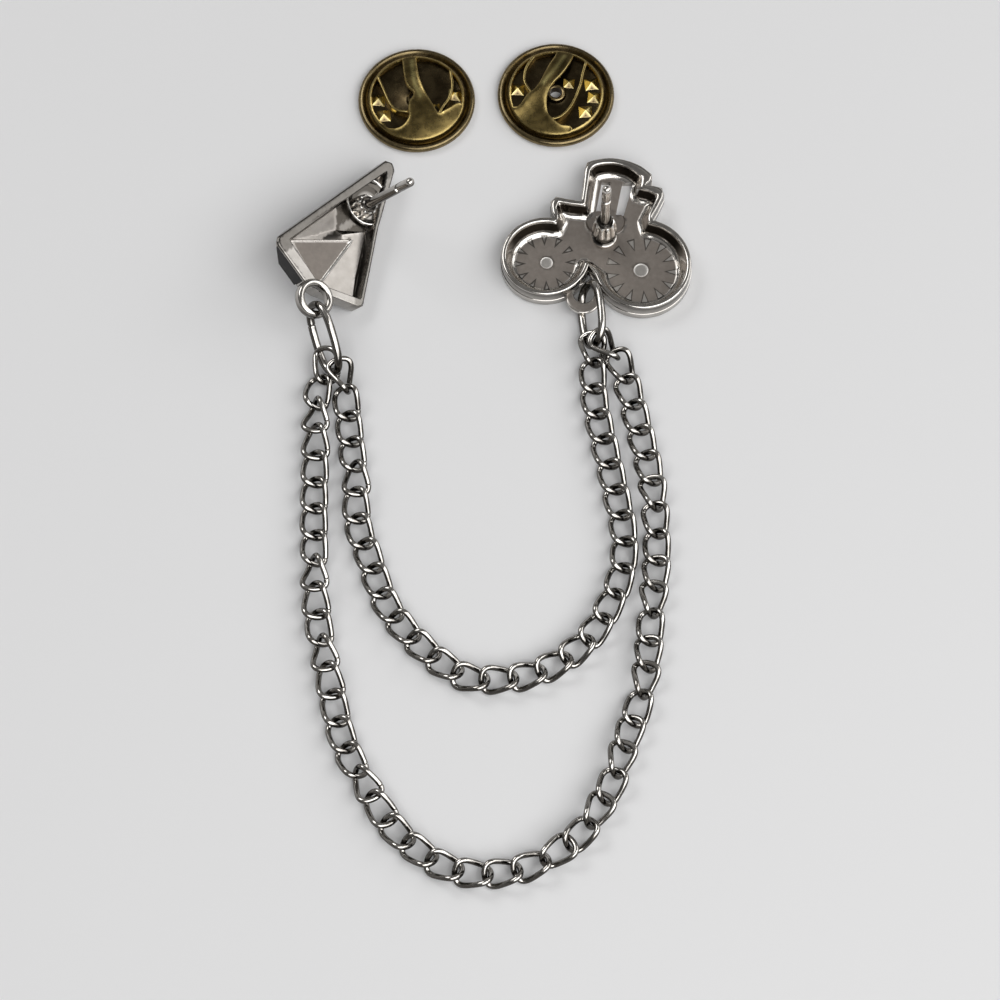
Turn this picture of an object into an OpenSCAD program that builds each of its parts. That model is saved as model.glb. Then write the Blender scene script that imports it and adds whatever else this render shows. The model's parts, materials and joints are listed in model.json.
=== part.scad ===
// Sweater clip: two cast badges with pin posts, joined by a double curb chain, and the two
// butterfly clutches that go on the posts, laid out on a flat surface.
// Millimetres, +Z up, the surface at z = 0, the middle of the lay-out at x = 0, y = 0.

/* [Pin posts] */
// Radius of the plain shaft that a clutch slides on
post_r = 0.45; // [0.4:0.01:0.55]
// Height of the rounded tip above the foot of the post
post_h = 10.2; // [6:0.1:12]
// Height of the fluted collar's top above the foot, right badge
collar_top = 3.3; // [2:0.1:4]
// The same on the left badge, whose post sits deeper in its boss
left_collar_top = 1.9; // [1.8:0.1:4]

/* [Right badge] */
// Height of the raised rim
rim_h = 2.2; // [1.6:0.1:2.5]
// Thickness of the cast plate inside the rim
plate_t = 0.6; // [0.5:0.05:1]
// Radius of the hole in the chain tab
tab_hole_r = 0.98; // [0.7:0.02:1.1]
// Depth of the triangular marks in the plate
mark_depth = 0.15; // [0.05:0.05:0.2]

/* [Left badge] */
// Tilt of the leaning badge about X, degrees
lean_x = 8.75; // [0:0.25:20]
// Tilt of the leaning badge about Y, degrees
lean_y = 31.75; // [0:0.25:45]
// Depth of the cast shell
shell_h = 1.8; // [1.5:0.05:2.5]
// Depth of the hollow in the shell
hollow_h = 1.35; // [1:0.05:1.5]
// Thickness of the enamel on the lower left side
enamel_t = 0.16; // [0.1:0.01:0.3]

/* [Jump rings] */
// Wire diameter of a jump ring
ring_wire = 0.74; // [0.6:0.02:1]
// Radius of the ring's round ends, to the middle of the wire
ring_r = 1.8; // [1.4:0.05:2.2]

/* [Chain] */
// Wire diameter of a link
link_wire = 0.44; // [0.4:0.02:0.6]
// Outer width of a link
link_w = 2.6; // [2.2:0.1:3]
// Play between two links pulled tight
link_play = 0.18; // [0.12:0.02:0.3]
// Links in the long outer strand
outer_links = 45; // [45:1:45]
// Links in the short inner strand
inner_links = 30; // [30:1:30]

/* [Clutches] */
// Outer diameter of a clutch
clutch_d = 11.5; // [10:0.1:13]
// Radius of the pin hole
clutch_hole_r = 0.58; // [0.5:0.01:0.8]
// Thickness of the spring strip
strip_t = 0.26; // [0.2:0.02:0.4]

/* [Hidden] */
$fn = 48;
eps = 0.01;
fit_gap = 0.04;
nickel = [0.72, 0.70, 0.67];
black_enamel = [0.05, 0.05, 0.05];
aged_brass = [0.42, 0.34, 0.16];

// middle of the lay-out, taken off every position below
layout_mid = [-1.425, 5.317];
right_post_at = [10.08, 27.45];
left_foot_at = [-13.6, 29.55, 2.5];
rim_above_foot = 1.0;

function arc(cx, cy, rx, ry, t0, t1, n) =
    [for (i = [0 : n]) let (t = t0 + (t1 - t0) * i / n) [cx + rx * cos(t), cy + ry * sin(t)]];
function unit(v) = v / norm(v);

// right badge: two round lenses under a top hat, seen from behind
lens_r = [13.68, 23.87];
lens_l = [4.38, 24.68];
hat_outer = [[14.7, 28.9], [15.3, 30.0], [15.9, 31.3], [15.7, 32.1], [14.9, 32.35], [14.15, 32.4],
             [14.75, 33.0], [14.75, 33.6], [13.7, 34.5], [12.4, 35.1], [10.9, 35.4], [9.3, 35.2],
             [8.5, 34.9], [8.2, 34.1], [8.0, 32.1], [7.8, 30.65], [6.5, 30.9], [5.4, 31.15],
             [4.9, 30.6], [5.0, 29.5], [5.3, 28.8]];
hat_inner = [[14.2, 29.0], [14.8, 30.3], [15.2, 31.3], [14.4, 31.75], [13.55, 31.95], [13.7, 33.3],
             [12.5, 34.3], [10.9, 34.75], [9.4, 34.55], [8.8, 34.0], [8.5, 31.9], [8.25, 30.1],
             [7.0, 30.25], [5.7, 30.5], [5.5, 29.9], [5.75, 29.0]];
badge_outer = concat(arc(lens_r.x, lens_r.y, 4.72, 4.85, 197, 436, 36), hat_outer,
                     arc(lens_l.x, lens_l.y, 4.28, 4.2, 76, 346, 36));
badge_inner = concat(arc(lens_r.x, lens_r.y, 4.2, 4.33, 190, 441, 36), hat_inner,
                     arc(lens_l.x, lens_l.y, 3.76, 3.68, 74, 353, 36), [[8.75, 24.3]]);
slot_right = [[11.9, 33.4], [13.0, 33.4], [12.0, 29.8], [11.2, 29.8]];
slot_left = [[9.9, 33.5], [10.8, 33.5], [10.1, 30.3], [9.3, 30.3]];
// marks: middle x, y, count, first angle, tip radius, base radius, half width
marks_r = [lens_r.x, lens_r.y, 13, 80, 2.1, 3.35, 0.42];
marks_l = [lens_l.x, lens_l.y, 12, 92, 1.8, 2.85, 0.36];
tab_mid = [8.0, 20.6];
tab_r = 1.65;
tab_hole_at = [8.04, 21.02];
tab_z = [0.92, 1.36];
// two-lobed pad behind the right post
right_pad_at = [10.22, 29.05];
right_pad_r = 1.25;
right_pad_step = 0.68;
pad_h = 0.35;
// enamel fields on the hidden front
panel_r = [3.2, 2.8];
panel_bar = 1.2;
panel_t = 0.22;
panel_up = 0.02;

// left badge: outline and hollow in its own tilted plane, rim face at height 0
shell_outer = [[1.9, 5.25], [2.65, 5.2], [3.0, 4.55], [1.8, -1.8], [1.4, -5.7], [0.95, -9.9],
               [0.6, -10.15], [-3.2, -9.75], [-4.8, -9.6], [-5.6, -9.05], [-8.7, -6.25],
               [-8.9, -5.9], [-8.75, -5.3]];
shell_inner = [[-7.55, -5.35], [-2.1, 0.1], [2.1, 4.15], [1.3, -1.9], [0.95, -5.7], [0.5, -9.3],
               [-2.9, -9.0], [-4.3, -8.6]];
plateau = [[-7.6, -5.4], [-0.85, -3.7], [-3.6, -8.8], [-4.3, -8.65]];
plateau_drop = 0.7;
loop_at = [-4.57, -10.67, 0.35];
loop_hole_r = 1.2;
loop_wall = 0.72;
loop_t = 1.1;
// the enamelled front rises to one low peak; the left corner is cut back to the rim
front_base = [[1.9, 4.4], [1.25, -1.8], [0.85, -5.7], [0.35, -9.5], [-3.3, -9.1], [-5.1, -8.8], [-8.0, -6.1]];
front_peak = [-0.6, -4.6, -3.6];
front_edge = -1.95;
side_ends = [[-5.6, -9.05], [-8.7, -6.25]];
side_top = -0.25;
side_join = 0.7;
// round boss under the left post, from wall to wall of the hollow
boss_at = [0.6, 0.75];
boss_r = 2.4;
boss_drop = 0.4;
corner_cut_at = [-8.85, -5.9, -0.3];
corner_cut_slope = 52;

// jump rings: middle, rotation, length of the straight sides
left_ring = [[-16.69, 15.49, 2.91], [66.8, 28.2, -72.0], 3.0];
right_ring = [[8.75, 18.45, 2.02], [62, 0, -84.3], 2.6];

// chain routes, left end to right end
outer_route = [[-16.65, 13.4], [-17.4, 10.2], [-17.4, 5.5], [-17.45, 0], [-17.35, -5.5], [-16.95, -12],
               [-15.6, -19], [-14.3, -24.5], [-12, -29.1], [-9.2, -33.3], [-5, -36.4], [-1, -37.1],
               [3.3, -36.1], [7.1, -33.5], [9.9, -29.1], [11.5, -24.4], [13.2, -19], [14.0, -12],
               [14.6, -6], [14.35, 0.5], [13.4, 5.7], [12.2, 11], [11.3, 13.9], [10.2, 15.6]];
inner_route = [[-14.85, 12.2], [-14.4, 8], [-13.8, 3.2], [-13.45, 0.8], [-13.5, -1.2], [-13.15, -3.6],
               [-12.2, -6.3], [-10.4, -11.2], [-7.2, -15.2], [-3.2, -18.1], [0.6, -18.3], [4.5, -17.2],
               [8.4, -14.0], [10.9, -9.1], [11.6, -5], [11.1, -1], [10.0, 4.5], [8.95, 10], [8.8, 15.1]];
// link number, roll in degrees; links between two rows are shared out evenly
outer_roll = [[1, 0], [2, 0], [3, 36], [4, 22], [5, 5], [8, 0], [9, 33], [10, 17], [11, 2], [12, 33],
              [13, 17], [14, 2], [16, 0], [17, 33], [18, 18], [19, 3], [24, 0], [25, 28], [26, 12],
              [27, 30], [28, 14], [29, 30], [30, 14], [31, 0], [32, 30], [33, 15], [34, 2], [35, 28],
              [36, 12], [37, 0], [39, 22], [40, 6], [42, 0], [45, 20]];
inner_roll = [[1, 0], [4, 0], [5, 22], [6, 8], [7, 0], [30, 0]];
// link number, lift above the surface
outer_lift = [[1, 0.1], [2, 0], [43, 0], [44, 0.18], [45, 0.9]];
inner_lift = [[1, 0.5], [2, 0.15], [3, 0], [28, 0], [29, 0.08], [30, 0.3]];
// the links that hook on the jump rings: x, y, z, heading, climb, roll
outer_first = [-16.49, 13.38, 1.35, -85.7, -27.1, -1.6];
outer_last = [10.09, 15.12, 2.08, 137.1, 21.1, 32.8];
inner_first = [-14.93, 12.03, 1.89, -70.7, -20.1, -38.4];
inner_last = [8.86, 15.14, 1.26, 93.1, 9.1, 20.3];
link_float = 0.09;
link_sections = 14;
link_sides = 5;
// spreads the mesh points a little so that its straight runs lie evenly about the curve
link_even = [1.012, 1.012, 1.04];

// clutches: middle of the cup
clutch_left_at = [-8.2, 42.7];
clutch_right_at = [5.5, 43.3];
cup_floor = 0.4;
cup_boss_r = 0.92;
cup_boss_top = 1.0;
cup_roll_r = 0.4;
// spring: a dome with two windows, and a wing that stands in each of them
spring_r = 4.75;
spring_skirt = 0.25;
window_r = 4.4;
dome_r = 12.2;
dome_top = 1.45;
wing_h = 0.95;
left_window_a = [[-1.5, 4.3], [-1.25, 2.2], [-0.95, 0.9], [-0.3, 0], [-0.7, -0.8], [-0.8, -1.6],
                 [-0.75, -2.3], [-1.1, -3.0], [-1.8, -3.45], [-2.7, -3.4], [-3.6, -2.7], [-6, -2.5],
                 [-6, 6], [-1.8, 6]];
left_window_b = [[-0.05, 4.4], [0.2, 2.4], [0.6, 1.0], [1.0, 0], [1.6, -1.0], [2.15, -1.9], [2.6, -1.7],
                 [3.25, -1.25], [4.2, -0.6], [6, -0.4], [6, 6], [0, 6]];
left_wing_a = [[-3.85, 2.25], [-3.3, 0.9], [-2.6, -0.8], [-1.9, -1.55], [-0.75, -1.75]];
left_wing_b = [[3.3, 3.0], [3.5, 1.2], [3.2, -0.2], [2.6, -1.2], [2.2, -2.05]];
right_window_a = [[0.0, 4.35], [-0.75, 2.75], [-1.45, 1.15], [-2.0, 0.2], [-2.8, -0.45], [-3.15, -0.9],
                  [-3.6, -1.5], [-4.2, -1.6], [-6, -1.2], [-6, 6], [0, 6]];
right_window_b = [[1.75, 4.0], [1.15, 2.5], [0.45, 1.4], [-0.35, 0.4], [-0.85, -0.8], [-0.85, -2.3],
                  [-0.5, -2.95], [0.45, -3.7], [1.6, -4.0], [1.8, -6], [6, -6], [6, 6], [2, 6]];
right_wing_a = [[-2.1, 3.95], [-2.9, 2.6], [-3.1, 1.2], [-2.6, 0.1], [-2.1, -0.5]];
right_wing_b = [[3.0, 3.3], [2.7, 2.2], [2.3, 0.4], [1.5, -1.6], [0.5, -2.8], [-0.5, -3.2]];

module place() {
    translate([-layout_mid.x, -layout_mid.y, 0]) children();
}

module lean() {
    translate(left_foot_at) rotate([lean_x, lean_y, 0]) translate([0, 0, rim_above_foot]) children();
}

// pin post: foot ring, waist, fluted collar with a small cup, plain shaft on a low root, neck
// and rounded tip
module post(top) {
    foot_r = 1.2;
    foot_h = 0.4;
    waist_r = 0.98;
    collar_h = 1.7;
    collar_z = top - collar_h;
    cup_depth = 0.3;
    cup_r = 0.78;
    flutes = 10;
    flute_r = 0.2;
    root_r = post_r + 0.17;
    root_up = 0.1;
    neck_z = 7.6;
    neck_h = 0.3;
    neck_r = post_r - 0.18;
    cylinder(r = foot_r, h = foot_h);
    cylinder(r = waist_r, h = collar_z + 0.1);
    difference() {
        translate([0, 0, collar_z]) cylinder(r1 = foot_r, r2 = waist_r, h = collar_h);
        for (i = [0 : flutes - 1])
            rotate(360 / flutes * (i + 0.5))
                translate([foot_r + 0.06, 0, collar_z - 0.1]) cylinder(r = flute_r, h = top);
        translate([0, 0, top - cup_depth]) cylinder(r = cup_r, h = 1);
    }
    cylinder(r = root_r, h = top + root_up);
    cylinder(r = post_r, h = neck_z);
    cylinder(r = neck_r, h = neck_z + neck_h + 0.1);
    translate([0, 0, neck_z + neck_h]) cylinder(r = post_r, h = post_h - neck_z - neck_h - post_r);
    translate([0, 0, post_h - post_r]) sphere(r = post_r);
}

// ring of triangular marks that point to the middle of a lens
module marks(m) {
    for (i = [0 : m[2] - 1])
        translate([m[0], m[1], plate_t - mark_depth])
            rotate(m[3] + 360 / m[2] * i)
                linear_extrude(height = 1) polygon([[m[4], 0], [m[5], m[6]], [m[5], -m[6]]]);
}

module right_badge() {
    color(nickel) place() {
        difference() {
            union() {
                difference() {
                    linear_extrude(height = rim_h) polygon(badge_outer);
                    translate([0, 0, plate_t]) linear_extrude(height = 2) polygon(badge_inner);
                }
                translate([tab_mid.x, tab_mid.y, tab_z[0]]) cylinder(r = tab_r, h = tab_z[1] - tab_z[0]);
                for (s = [-1, 1])
                    translate([right_pad_at.x + s * right_pad_step, right_pad_at.y, plate_t - eps])
                        cylinder(r = right_pad_r, h = pad_h + eps);
            }
            translate([tab_hole_at.x, tab_hole_at.y, -1]) cylinder(r = tab_hole_r, h = 4);
            translate([0, 0, -1]) linear_extrude(height = 4) polygon(slot_right);
            translate([0, 0, -1]) linear_extrude(height = 4) polygon(slot_left);
            marks(marks_r);
            marks(marks_l);
            translate([0, 0, -1]) right_panels(fit_gap, 1 + panel_up + panel_t + fit_gap);
        }
        translate([right_post_at.x, right_post_at.y, plate_t]) post(collar_top);
    }
}

// enamel field on the hidden front: two lenses and the bar between them
module right_panels(grow, height) {
    half_bar = panel_bar / 2 + grow;
    translate([lens_r.x, lens_r.y, 0]) cylinder(r = panel_r[0] + grow, h = height);
    translate([lens_l.x, lens_l.y, 0]) cylinder(r = panel_r[1] + grow, h = height);
    translate([lens_l.x, lens_l.y - half_bar, 0]) cube([lens_r.x - lens_l.x, 2 * half_bar, height]);
}

module right_enamel() {
    color(black_enamel) place() translate([0, 0, panel_up]) right_panels(0, panel_t);
}

module cast_loop() {
    mid_r = loop_hole_r + loop_wall / 2;
    half = (loop_t - loop_wall) / 2;
    rotate_extrude() {
        translate([mid_r, half]) circle(d = loop_wall);
        translate([mid_r, -half]) circle(d = loop_wall);
        translate([mid_r - loop_wall / 2, -half]) square([loop_wall, 2 * half]);
    }
}

module left_badge() {
    color(nickel) place() lean() {
        difference() {
            translate([0, 0, -shell_h]) linear_extrude(height = shell_h) polygon(shell_outer);
            difference() {
                translate([0, 0, -hollow_h]) linear_extrude(height = 3) polygon(shell_inner);
                translate([0, 0, -shell_h]) linear_extrude(height = shell_h - plateau_drop) polygon(plateau);
            }
            translate([0, 0, -3]) linear_extrude(height = 3 + side_top)
                side_strip(enamel_t + fit_gap, 0.3, 0);
            translate(loop_at) cylinder(r = loop_hole_r, h = 4, center = true);
            corner_cut();
        }
        intersection() {
            translate([boss_at.x, boss_at.y, -hollow_h - eps])
                cylinder(r = boss_r, h = hollow_h + eps - boss_drop);
            translate([0, 0, -shell_h]) linear_extrude(height = shell_h) polygon(shell_outer);
        }
        translate([0, 0, -rim_above_foot]) post(left_collar_top);
        translate(loop_at) cast_loop();
    }
}

// strip along the lower left side, d deep, o out beyond the outline and e short of each end
module side_strip(d, o, e) {
    u = unit(side_ends[1] - side_ends[0]);
    n = [u.y, -u.x];
    a = side_ends[0] + u * e;
    b = side_ends[1] - u * e;
    polygon([a - n * o, b - n * o, b + n * d, a + n * d]);
}

// slice taken off the front of the left corner
module corner_cut() {
    translate(corner_cut_at) rotate([0, corner_cut_slope, 0]) translate([-6, -6, -5]) cube([12, 12, 5]);
}

// enamelled front: a low peak that the badge leans on, and a strip up the lower left side
module left_enamel() {
    n = len(front_base);
    top_z = -shell_h - fit_gap;
    points = concat([for (q = front_base) [q.x, q.y, top_z]],
                    [for (q = front_base) [q.x, q.y, front_edge]],
                    [front_peak]);
    faces = concat([[for (i = [0 : n - 1]) i]],
                   [for (i = [0 : n - 1]) let (j = (i + 1) % n) [n + i, n + j, j, i]],
                   [for (i = [0 : n - 1]) let (j = (i + 1) % n) [2 * n, n + j, n + i]]);
    color(black_enamel) place() lean() difference() {
        union() {
            polyhedron(points, faces);
            translate([0, 0, front_edge]) linear_extrude(height = side_top - fit_gap - front_edge)
                side_strip(enamel_t, 0, fit_gap);
            translate([0, 0, front_edge]) linear_extrude(height = top_z - front_edge)
                side_strip(side_join, 0, fit_gap);
        }
        translate(loop_at) cylinder(r = loop_hole_r + loop_wall + 3 * fit_gap, h = 8, center = true);
        corner_cut();
    }
}

module jump_ring(at) {
    color(nickel) place() translate(at[0]) rotate(at[1]) {
        for (s = [0, 180])
            rotate(s) translate([at[2] / 2, 0, 0]) rotate(-90)
                rotate_extrude(angle = 180) translate([ring_r, 0]) circle(d = ring_wire);
        for (s = [-1, 1])
            translate([-at[2] / 2, s * ring_r, 0]) rotate([0, 90, 0]) cylinder(d = ring_wire, h = at[2]);
    }
}

// smooth curve through the route points
function curve(p, n) = concat(
    [for (k = [0 : len(p) - 2], j = [0 : n - 1])
        let (t = j / n,
             a = k == 0 ? 2 * p[0] - p[1] : p[k - 1],
             b = p[k],
             c = p[k + 1],
             d = k == len(p) - 2 ? 2 * p[k + 1] - p[k] : p[k + 2])
        0.5 * (2 * b + (c - a) * t + (2 * a - 5 * b + 4 * c - d) * pow(t, 2)
               + (3 * b - a - 3 * c + d) * pow(t, 3))],
    [p[len(p) - 1]]);
function distances(p) =
    [for (i = 0, s = 0; i < len(p); s = s + norm(p[min(i + 1, len(p) - 1)] - p[i]), i = i + 1) s];

// one link's centre line: an oval twisted so that its neighbours cross it at right angles
function link_point(t, half) =
    let (b = (link_w - link_wire) / 2)
    [half * cos(t), b * (1.09 * sin(t) + 0.09 * sin(3 * t)), -0.54 * b * sin(2 * t)];
function rest_height(roll) =
    link_wire / 2 + link_float
    + max([for (t = [0 : 3 : 357]) let (q = link_point(t, 1)) -(q.y * sin(roll) + q.z * cos(roll))]);

// centres of the links along a route
function centres(route, rolls, lifts, count) =
    let (path = curve(route, 12),
         s = distances(path),
         step = s[len(s) - 1] / (count - 1),
         xs = [for (i = [0 : len(s) - 1]) [s[i], path[i].x]],
         ys = [for (i = [0 : len(s) - 1]) [s[i], path[i].y]])
    [for (k = [0 : count - 1])
        let (z = rest_height(lookup(k + 1, rolls)) + lookup(k + 1, lifts))
        [lookup(k * step, xs), lookup(k * step, ys), z]];
function step_of(route, count) = let (s = distances(curve(route, 12))) s[len(s) - 1] / (count - 1);

// a link's axes: along, across and up, rolled about its length
function axes(along, roll) =
    let (d = unit(along), n = unit(cross([0, 0, 1], d)), z = cross(d, n))
    [d, n * cos(roll) + z * sin(roll), z * cos(roll) - n * sin(roll)];
function heading(yaw, climb) = [cos(yaw) * cos(climb), sin(yaw) * cos(climb), sin(climb)];

module link(mid, ax, half) {
    n = link_sections;
    m = link_sides;
    points = [for (i = [0 : n - 1])
        let (t = 360 / n * i,
             q = link_point(t, half),
             w = link_point(t + 2, half) - link_point(t - 2, half),
             along = unit(ax[0] * w.x + ax[1] * w.y + ax[2] * w.z),
             side = unit(cross(along, ax[2])),
             top = cross(side, along),
             c = mid + ax[0] * q.x * link_even.x + ax[1] * q.y * link_even.y + ax[2] * q.z * link_even.z)
        for (j = [0 : m - 1]) c + link_wire / 2 * (side * cos(360 / m * j) + top * sin(360 / m * j))];
    faces = [for (i = [0 : n - 1], j = [0 : m - 1])
        let (i2 = (i + 1) % n, j2 = (j + 1) % m)
        each [[i * m + j, i * m + j2, i2 * m + j2], [i * m + j, i2 * m + j2, i2 * m + j]]];
    polyhedron(points, faces);
}

module chain(route, rolls, lifts, count, first, last) {
    mids = centres(route, rolls, lifts, count);
    half = (step_of(route, count) + link_wire + link_play) / 2;
    color(nickel) place() {
        for (k = [1 : count - 2])
            link(mids[k], axes(mids[k + 1] - mids[k - 1], lookup(k + 1, rolls)), half);
        for (e = [first, last])
            link([e[0], e[1], e[2]], axes(heading(e[3], e[4]), e[5]), half);
    }
}

module jump_ring_right() {
    jump_ring(right_ring);
}

module jump_ring_left() {
    jump_ring(left_ring);
}

module chain_outer() {
    chain(outer_route, outer_roll, outer_lift, outer_links, outer_first, outer_last);
}

module chain_inner() {
    chain(inner_route, inner_roll, inner_lift, inner_links, inner_first, inner_last);
}

module clutch_left_cup() {
    clutch_cup(clutch_left_at);
}

module clutch_right_cup() {
    clutch_cup(clutch_right_at);
}

module clutch_left_spring() {
    clutch_spring(clutch_left_at, left_window_a, left_window_b, left_wing_a, left_wing_b);
}

module clutch_right_spring() {
    clutch_spring(clutch_right_at, right_window_a, right_window_b, right_wing_a, right_wing_b);
}

// cup of a butterfly clutch: floor with a drawn pin hole and a rolled rim
module clutch_cup(at) {
    roll_at = clutch_d / 2 - cup_roll_r;
    color(aged_brass) place() translate([at.x, at.y, 0]) difference() {
        union() {
            cylinder(r = roll_at, h = cup_floor);
            cylinder(r = cup_boss_r, h = cup_boss_top);
            rotate_extrude() translate([roll_at, cup_roll_r]) circle(r = cup_roll_r);
        }
        translate([0, 0, -1]) cylinder(r = clutch_hole_r, h = 4);
    }
}

// flat strip on edge along a smooth path
module ribbon(path, width) {
    p = curve(path, 4);
    n = len(p);
    side = [for (i = [0 : n - 1])
        let (u = unit(p[min(i + 1, n - 1)] - p[max(i - 1, 0)]))
        [-u.y, u.x] * width / 2];
    polygon(concat([for (i = [0 : n - 1]) p[i] + side[i]], [for (i = [n - 1 : -1 : 0]) p[i] - side[i]]));
}

module clutch_spring(at, window_a, window_b, wing_a, wing_b) {
    color(aged_brass) place() translate([at.x, at.y, cup_floor + fit_gap]) {
        difference() {
            intersection() {
                translate([0, 0, dome_top - dome_r]) sphere(r = dome_r);
                cylinder(r = spring_r, h = 3);
            }
            intersection() {
                translate([0, 0, dome_top - dome_r]) sphere(r = dome_r - strip_t);
                translate([0, 0, -1]) cylinder(r = spring_r - spring_skirt, h = 4);
            }
            for (w = [window_a, window_b])
                intersection() {
                    translate([0, 0, -1]) cylinder(r = window_r, h = 4);
                    translate([0, 0, -2]) linear_extrude(height = 6) polygon(w);
                }
            translate([0, 0, -1]) cylinder(r = clutch_hole_r + 0.04, h = 4);
        }
        for (w = [wing_a, wing_b]) linear_extrude(height = wing_h) ribbon(w, strip_t);
    }
}

right_badge();
right_enamel();
left_badge();
left_enamel();
jump_ring_right();
jump_ring_left();
chain_outer();
chain_inner();
clutch_left_cup();
clutch_left_spring();
clutch_right_cup();
clutch_right_spring();
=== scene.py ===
"""Looks of the sweater clip: two cast badges, a double curb chain and two butterfly clutches."""
import json
import math

import bpy
import numpy as np
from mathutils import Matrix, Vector
from mathutils.geometry import delaunay_2d_cdt

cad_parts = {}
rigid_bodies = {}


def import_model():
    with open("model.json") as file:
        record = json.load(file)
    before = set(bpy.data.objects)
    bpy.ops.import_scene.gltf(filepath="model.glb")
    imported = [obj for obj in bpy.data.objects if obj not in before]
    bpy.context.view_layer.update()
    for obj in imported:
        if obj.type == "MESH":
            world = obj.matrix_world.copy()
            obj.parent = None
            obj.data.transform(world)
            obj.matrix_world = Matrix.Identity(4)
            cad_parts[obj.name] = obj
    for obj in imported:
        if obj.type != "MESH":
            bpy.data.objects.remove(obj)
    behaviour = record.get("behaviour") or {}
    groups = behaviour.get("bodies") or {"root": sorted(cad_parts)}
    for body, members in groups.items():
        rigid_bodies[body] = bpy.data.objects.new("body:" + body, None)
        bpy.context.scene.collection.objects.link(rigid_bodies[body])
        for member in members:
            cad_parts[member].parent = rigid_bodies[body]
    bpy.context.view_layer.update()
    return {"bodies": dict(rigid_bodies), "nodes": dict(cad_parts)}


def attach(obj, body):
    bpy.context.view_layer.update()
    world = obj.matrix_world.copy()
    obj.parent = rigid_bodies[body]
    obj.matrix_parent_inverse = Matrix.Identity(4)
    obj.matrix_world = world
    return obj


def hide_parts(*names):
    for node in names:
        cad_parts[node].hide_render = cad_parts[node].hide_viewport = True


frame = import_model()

MM = 0.001
MID = np.array([-1.425, 5.317, 0.0])  # middle of the lay-out, in the millimetres used below


# Outlines and curves

def arc(cx, cy, rx, ry, t0, t1, n):
    t = np.radians(np.linspace(t0, t1, n + 1))
    return np.stack([cx + rx * np.cos(t), cy + ry * np.sin(t)], 1)


def unit(v):
    """The vectors at length 1."""
    return v / np.maximum(np.linalg.norm(v, axis=-1, keepdims=True), 1e-9)


def circle(middle, r, n):
    """n points round a circle."""
    return arc(*middle, r, r, 0, 360 * (n - 1) / n, n - 1)


def away(p, q):
    """Distance of each point from the point q."""
    return np.hypot(*(p - np.asarray(q)).T)


def curve(points, n, closed=False):
    """Smooth curve through the points, in n steps from one to the next."""
    p = np.asarray(points, float)
    before = p[-1:] if closed else 2 * p[:1] - p[1:2]
    after = p[:2] if closed else 2 * p[-1:] - p[-2:-1]
    q = np.vstack([before, p, after])
    spans = len(p) if closed else len(p) - 1
    t = (np.arange(n) / n)[:, None]
    rows = []
    for k in range(spans):
        a, b, c, d = q[k], q[k + 1], q[k + 2], q[k + 3]
        rows.append(0.5 * (2 * b + (c - a) * t + (2 * a - 5 * b + 4 * c - d) * t**2
                           + (3 * b - a - 3 * c + d) * t**3))
    out = np.vstack(rows)
    return out if closed else np.vstack([out, p[-1:]])


def spaced(loop, step):
    """The closed outline with points about step apart, its corners kept."""
    p = np.asarray(loop, float)
    rows = []
    for a, b in zip(p, np.roll(p, -1, 0)):
        n = max(1, round(float(np.linalg.norm(b - a)) / step))
        rows.append(a + (b - a) * (np.arange(n) / n)[:, None])
    return np.vstack(rows)


def depth(p, loop):
    """Distance of each point from the outline, positive inside it."""
    a = np.asarray(loop, float)
    ab = np.roll(a, -1, 0) - a
    ap = p[:, None] - a[None]
    t = np.clip((ap * ab).sum(-1) / np.maximum((ab * ab).sum(-1), 1e-12), 0, 1)
    d = np.linalg.norm(ap - t[..., None] * ab, axis=-1).min(1)
    with np.errstate(divide="ignore", invalid="ignore"):
        x = a[:, 0] + ab[:, 0] * (p[:, None, 1] - a[:, 1]) / ab[:, 1]
    straddles = (a[:, 1] > p[:, None, 1]) != (a[:, 1] + ab[:, 1] > p[:, None, 1])
    inside = (straddles & (p[:, None, 0] < x)).sum(1) % 2 == 1
    return np.where(inside, d, -d)


def slope(p, loop):
    """Unit vector at each point away from the nearest stretch of the outline, into it."""
    h = 0.01
    n = np.stack([depth(p + [h, 0], loop) - depth(p - [h, 0], loop),
                  depth(p + [0, h], loop) - depth(p - [0, h], loop)], 1)
    return unit(n)


def inset(loop, d, step=0.25):
    """Outline moved inwards by d, without the points that come nearer to another stretch of it."""
    p = spaced(loop, step)
    area = (p[:, 0] * np.roll(p[:, 1], -1) - np.roll(p[:, 0], -1) * p[:, 1]).sum()
    along = unit(np.roll(p, -1, 0) - np.roll(p, 1, 0))
    q = p + np.stack([-along[:, 1], along[:, 0]], 1) * d * np.sign(area)
    return q[np.abs(depth(q, loop)) > abs(d) * 0.97 - 1e-4]


def insets(loop, depths, step=0.25):
    return [inset(loop, d, step) for d in depths]


def rounded(d, r):
    """Drop of an edge rounded to radius r, at distance d from the edge."""
    d = np.clip(d, 0, r)
    return r - np.sqrt(np.maximum(r * r - (r - d) ** 2, 0))


def step01(x, lo, hi):
    t = np.clip((x - lo) / (hi - lo), 0, 1)
    return t * t * (3 - 2 * t)


# Solids, in millimetres
# A part is (vertices, faces, paint). The two columns of paint are matte, 1 on sandblasted ground and
# 0 on bright metal, and shade, which is painted shade up to 1 and painted highlight down to -1.

THINNEST = 0.02  # least thickness of a relief
LEDGE_DROP = 0.03  # height of a ledge's slope
FIELD_GAP = 0.55  # how far the field's points keep from the lines, in steps of the grid


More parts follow.
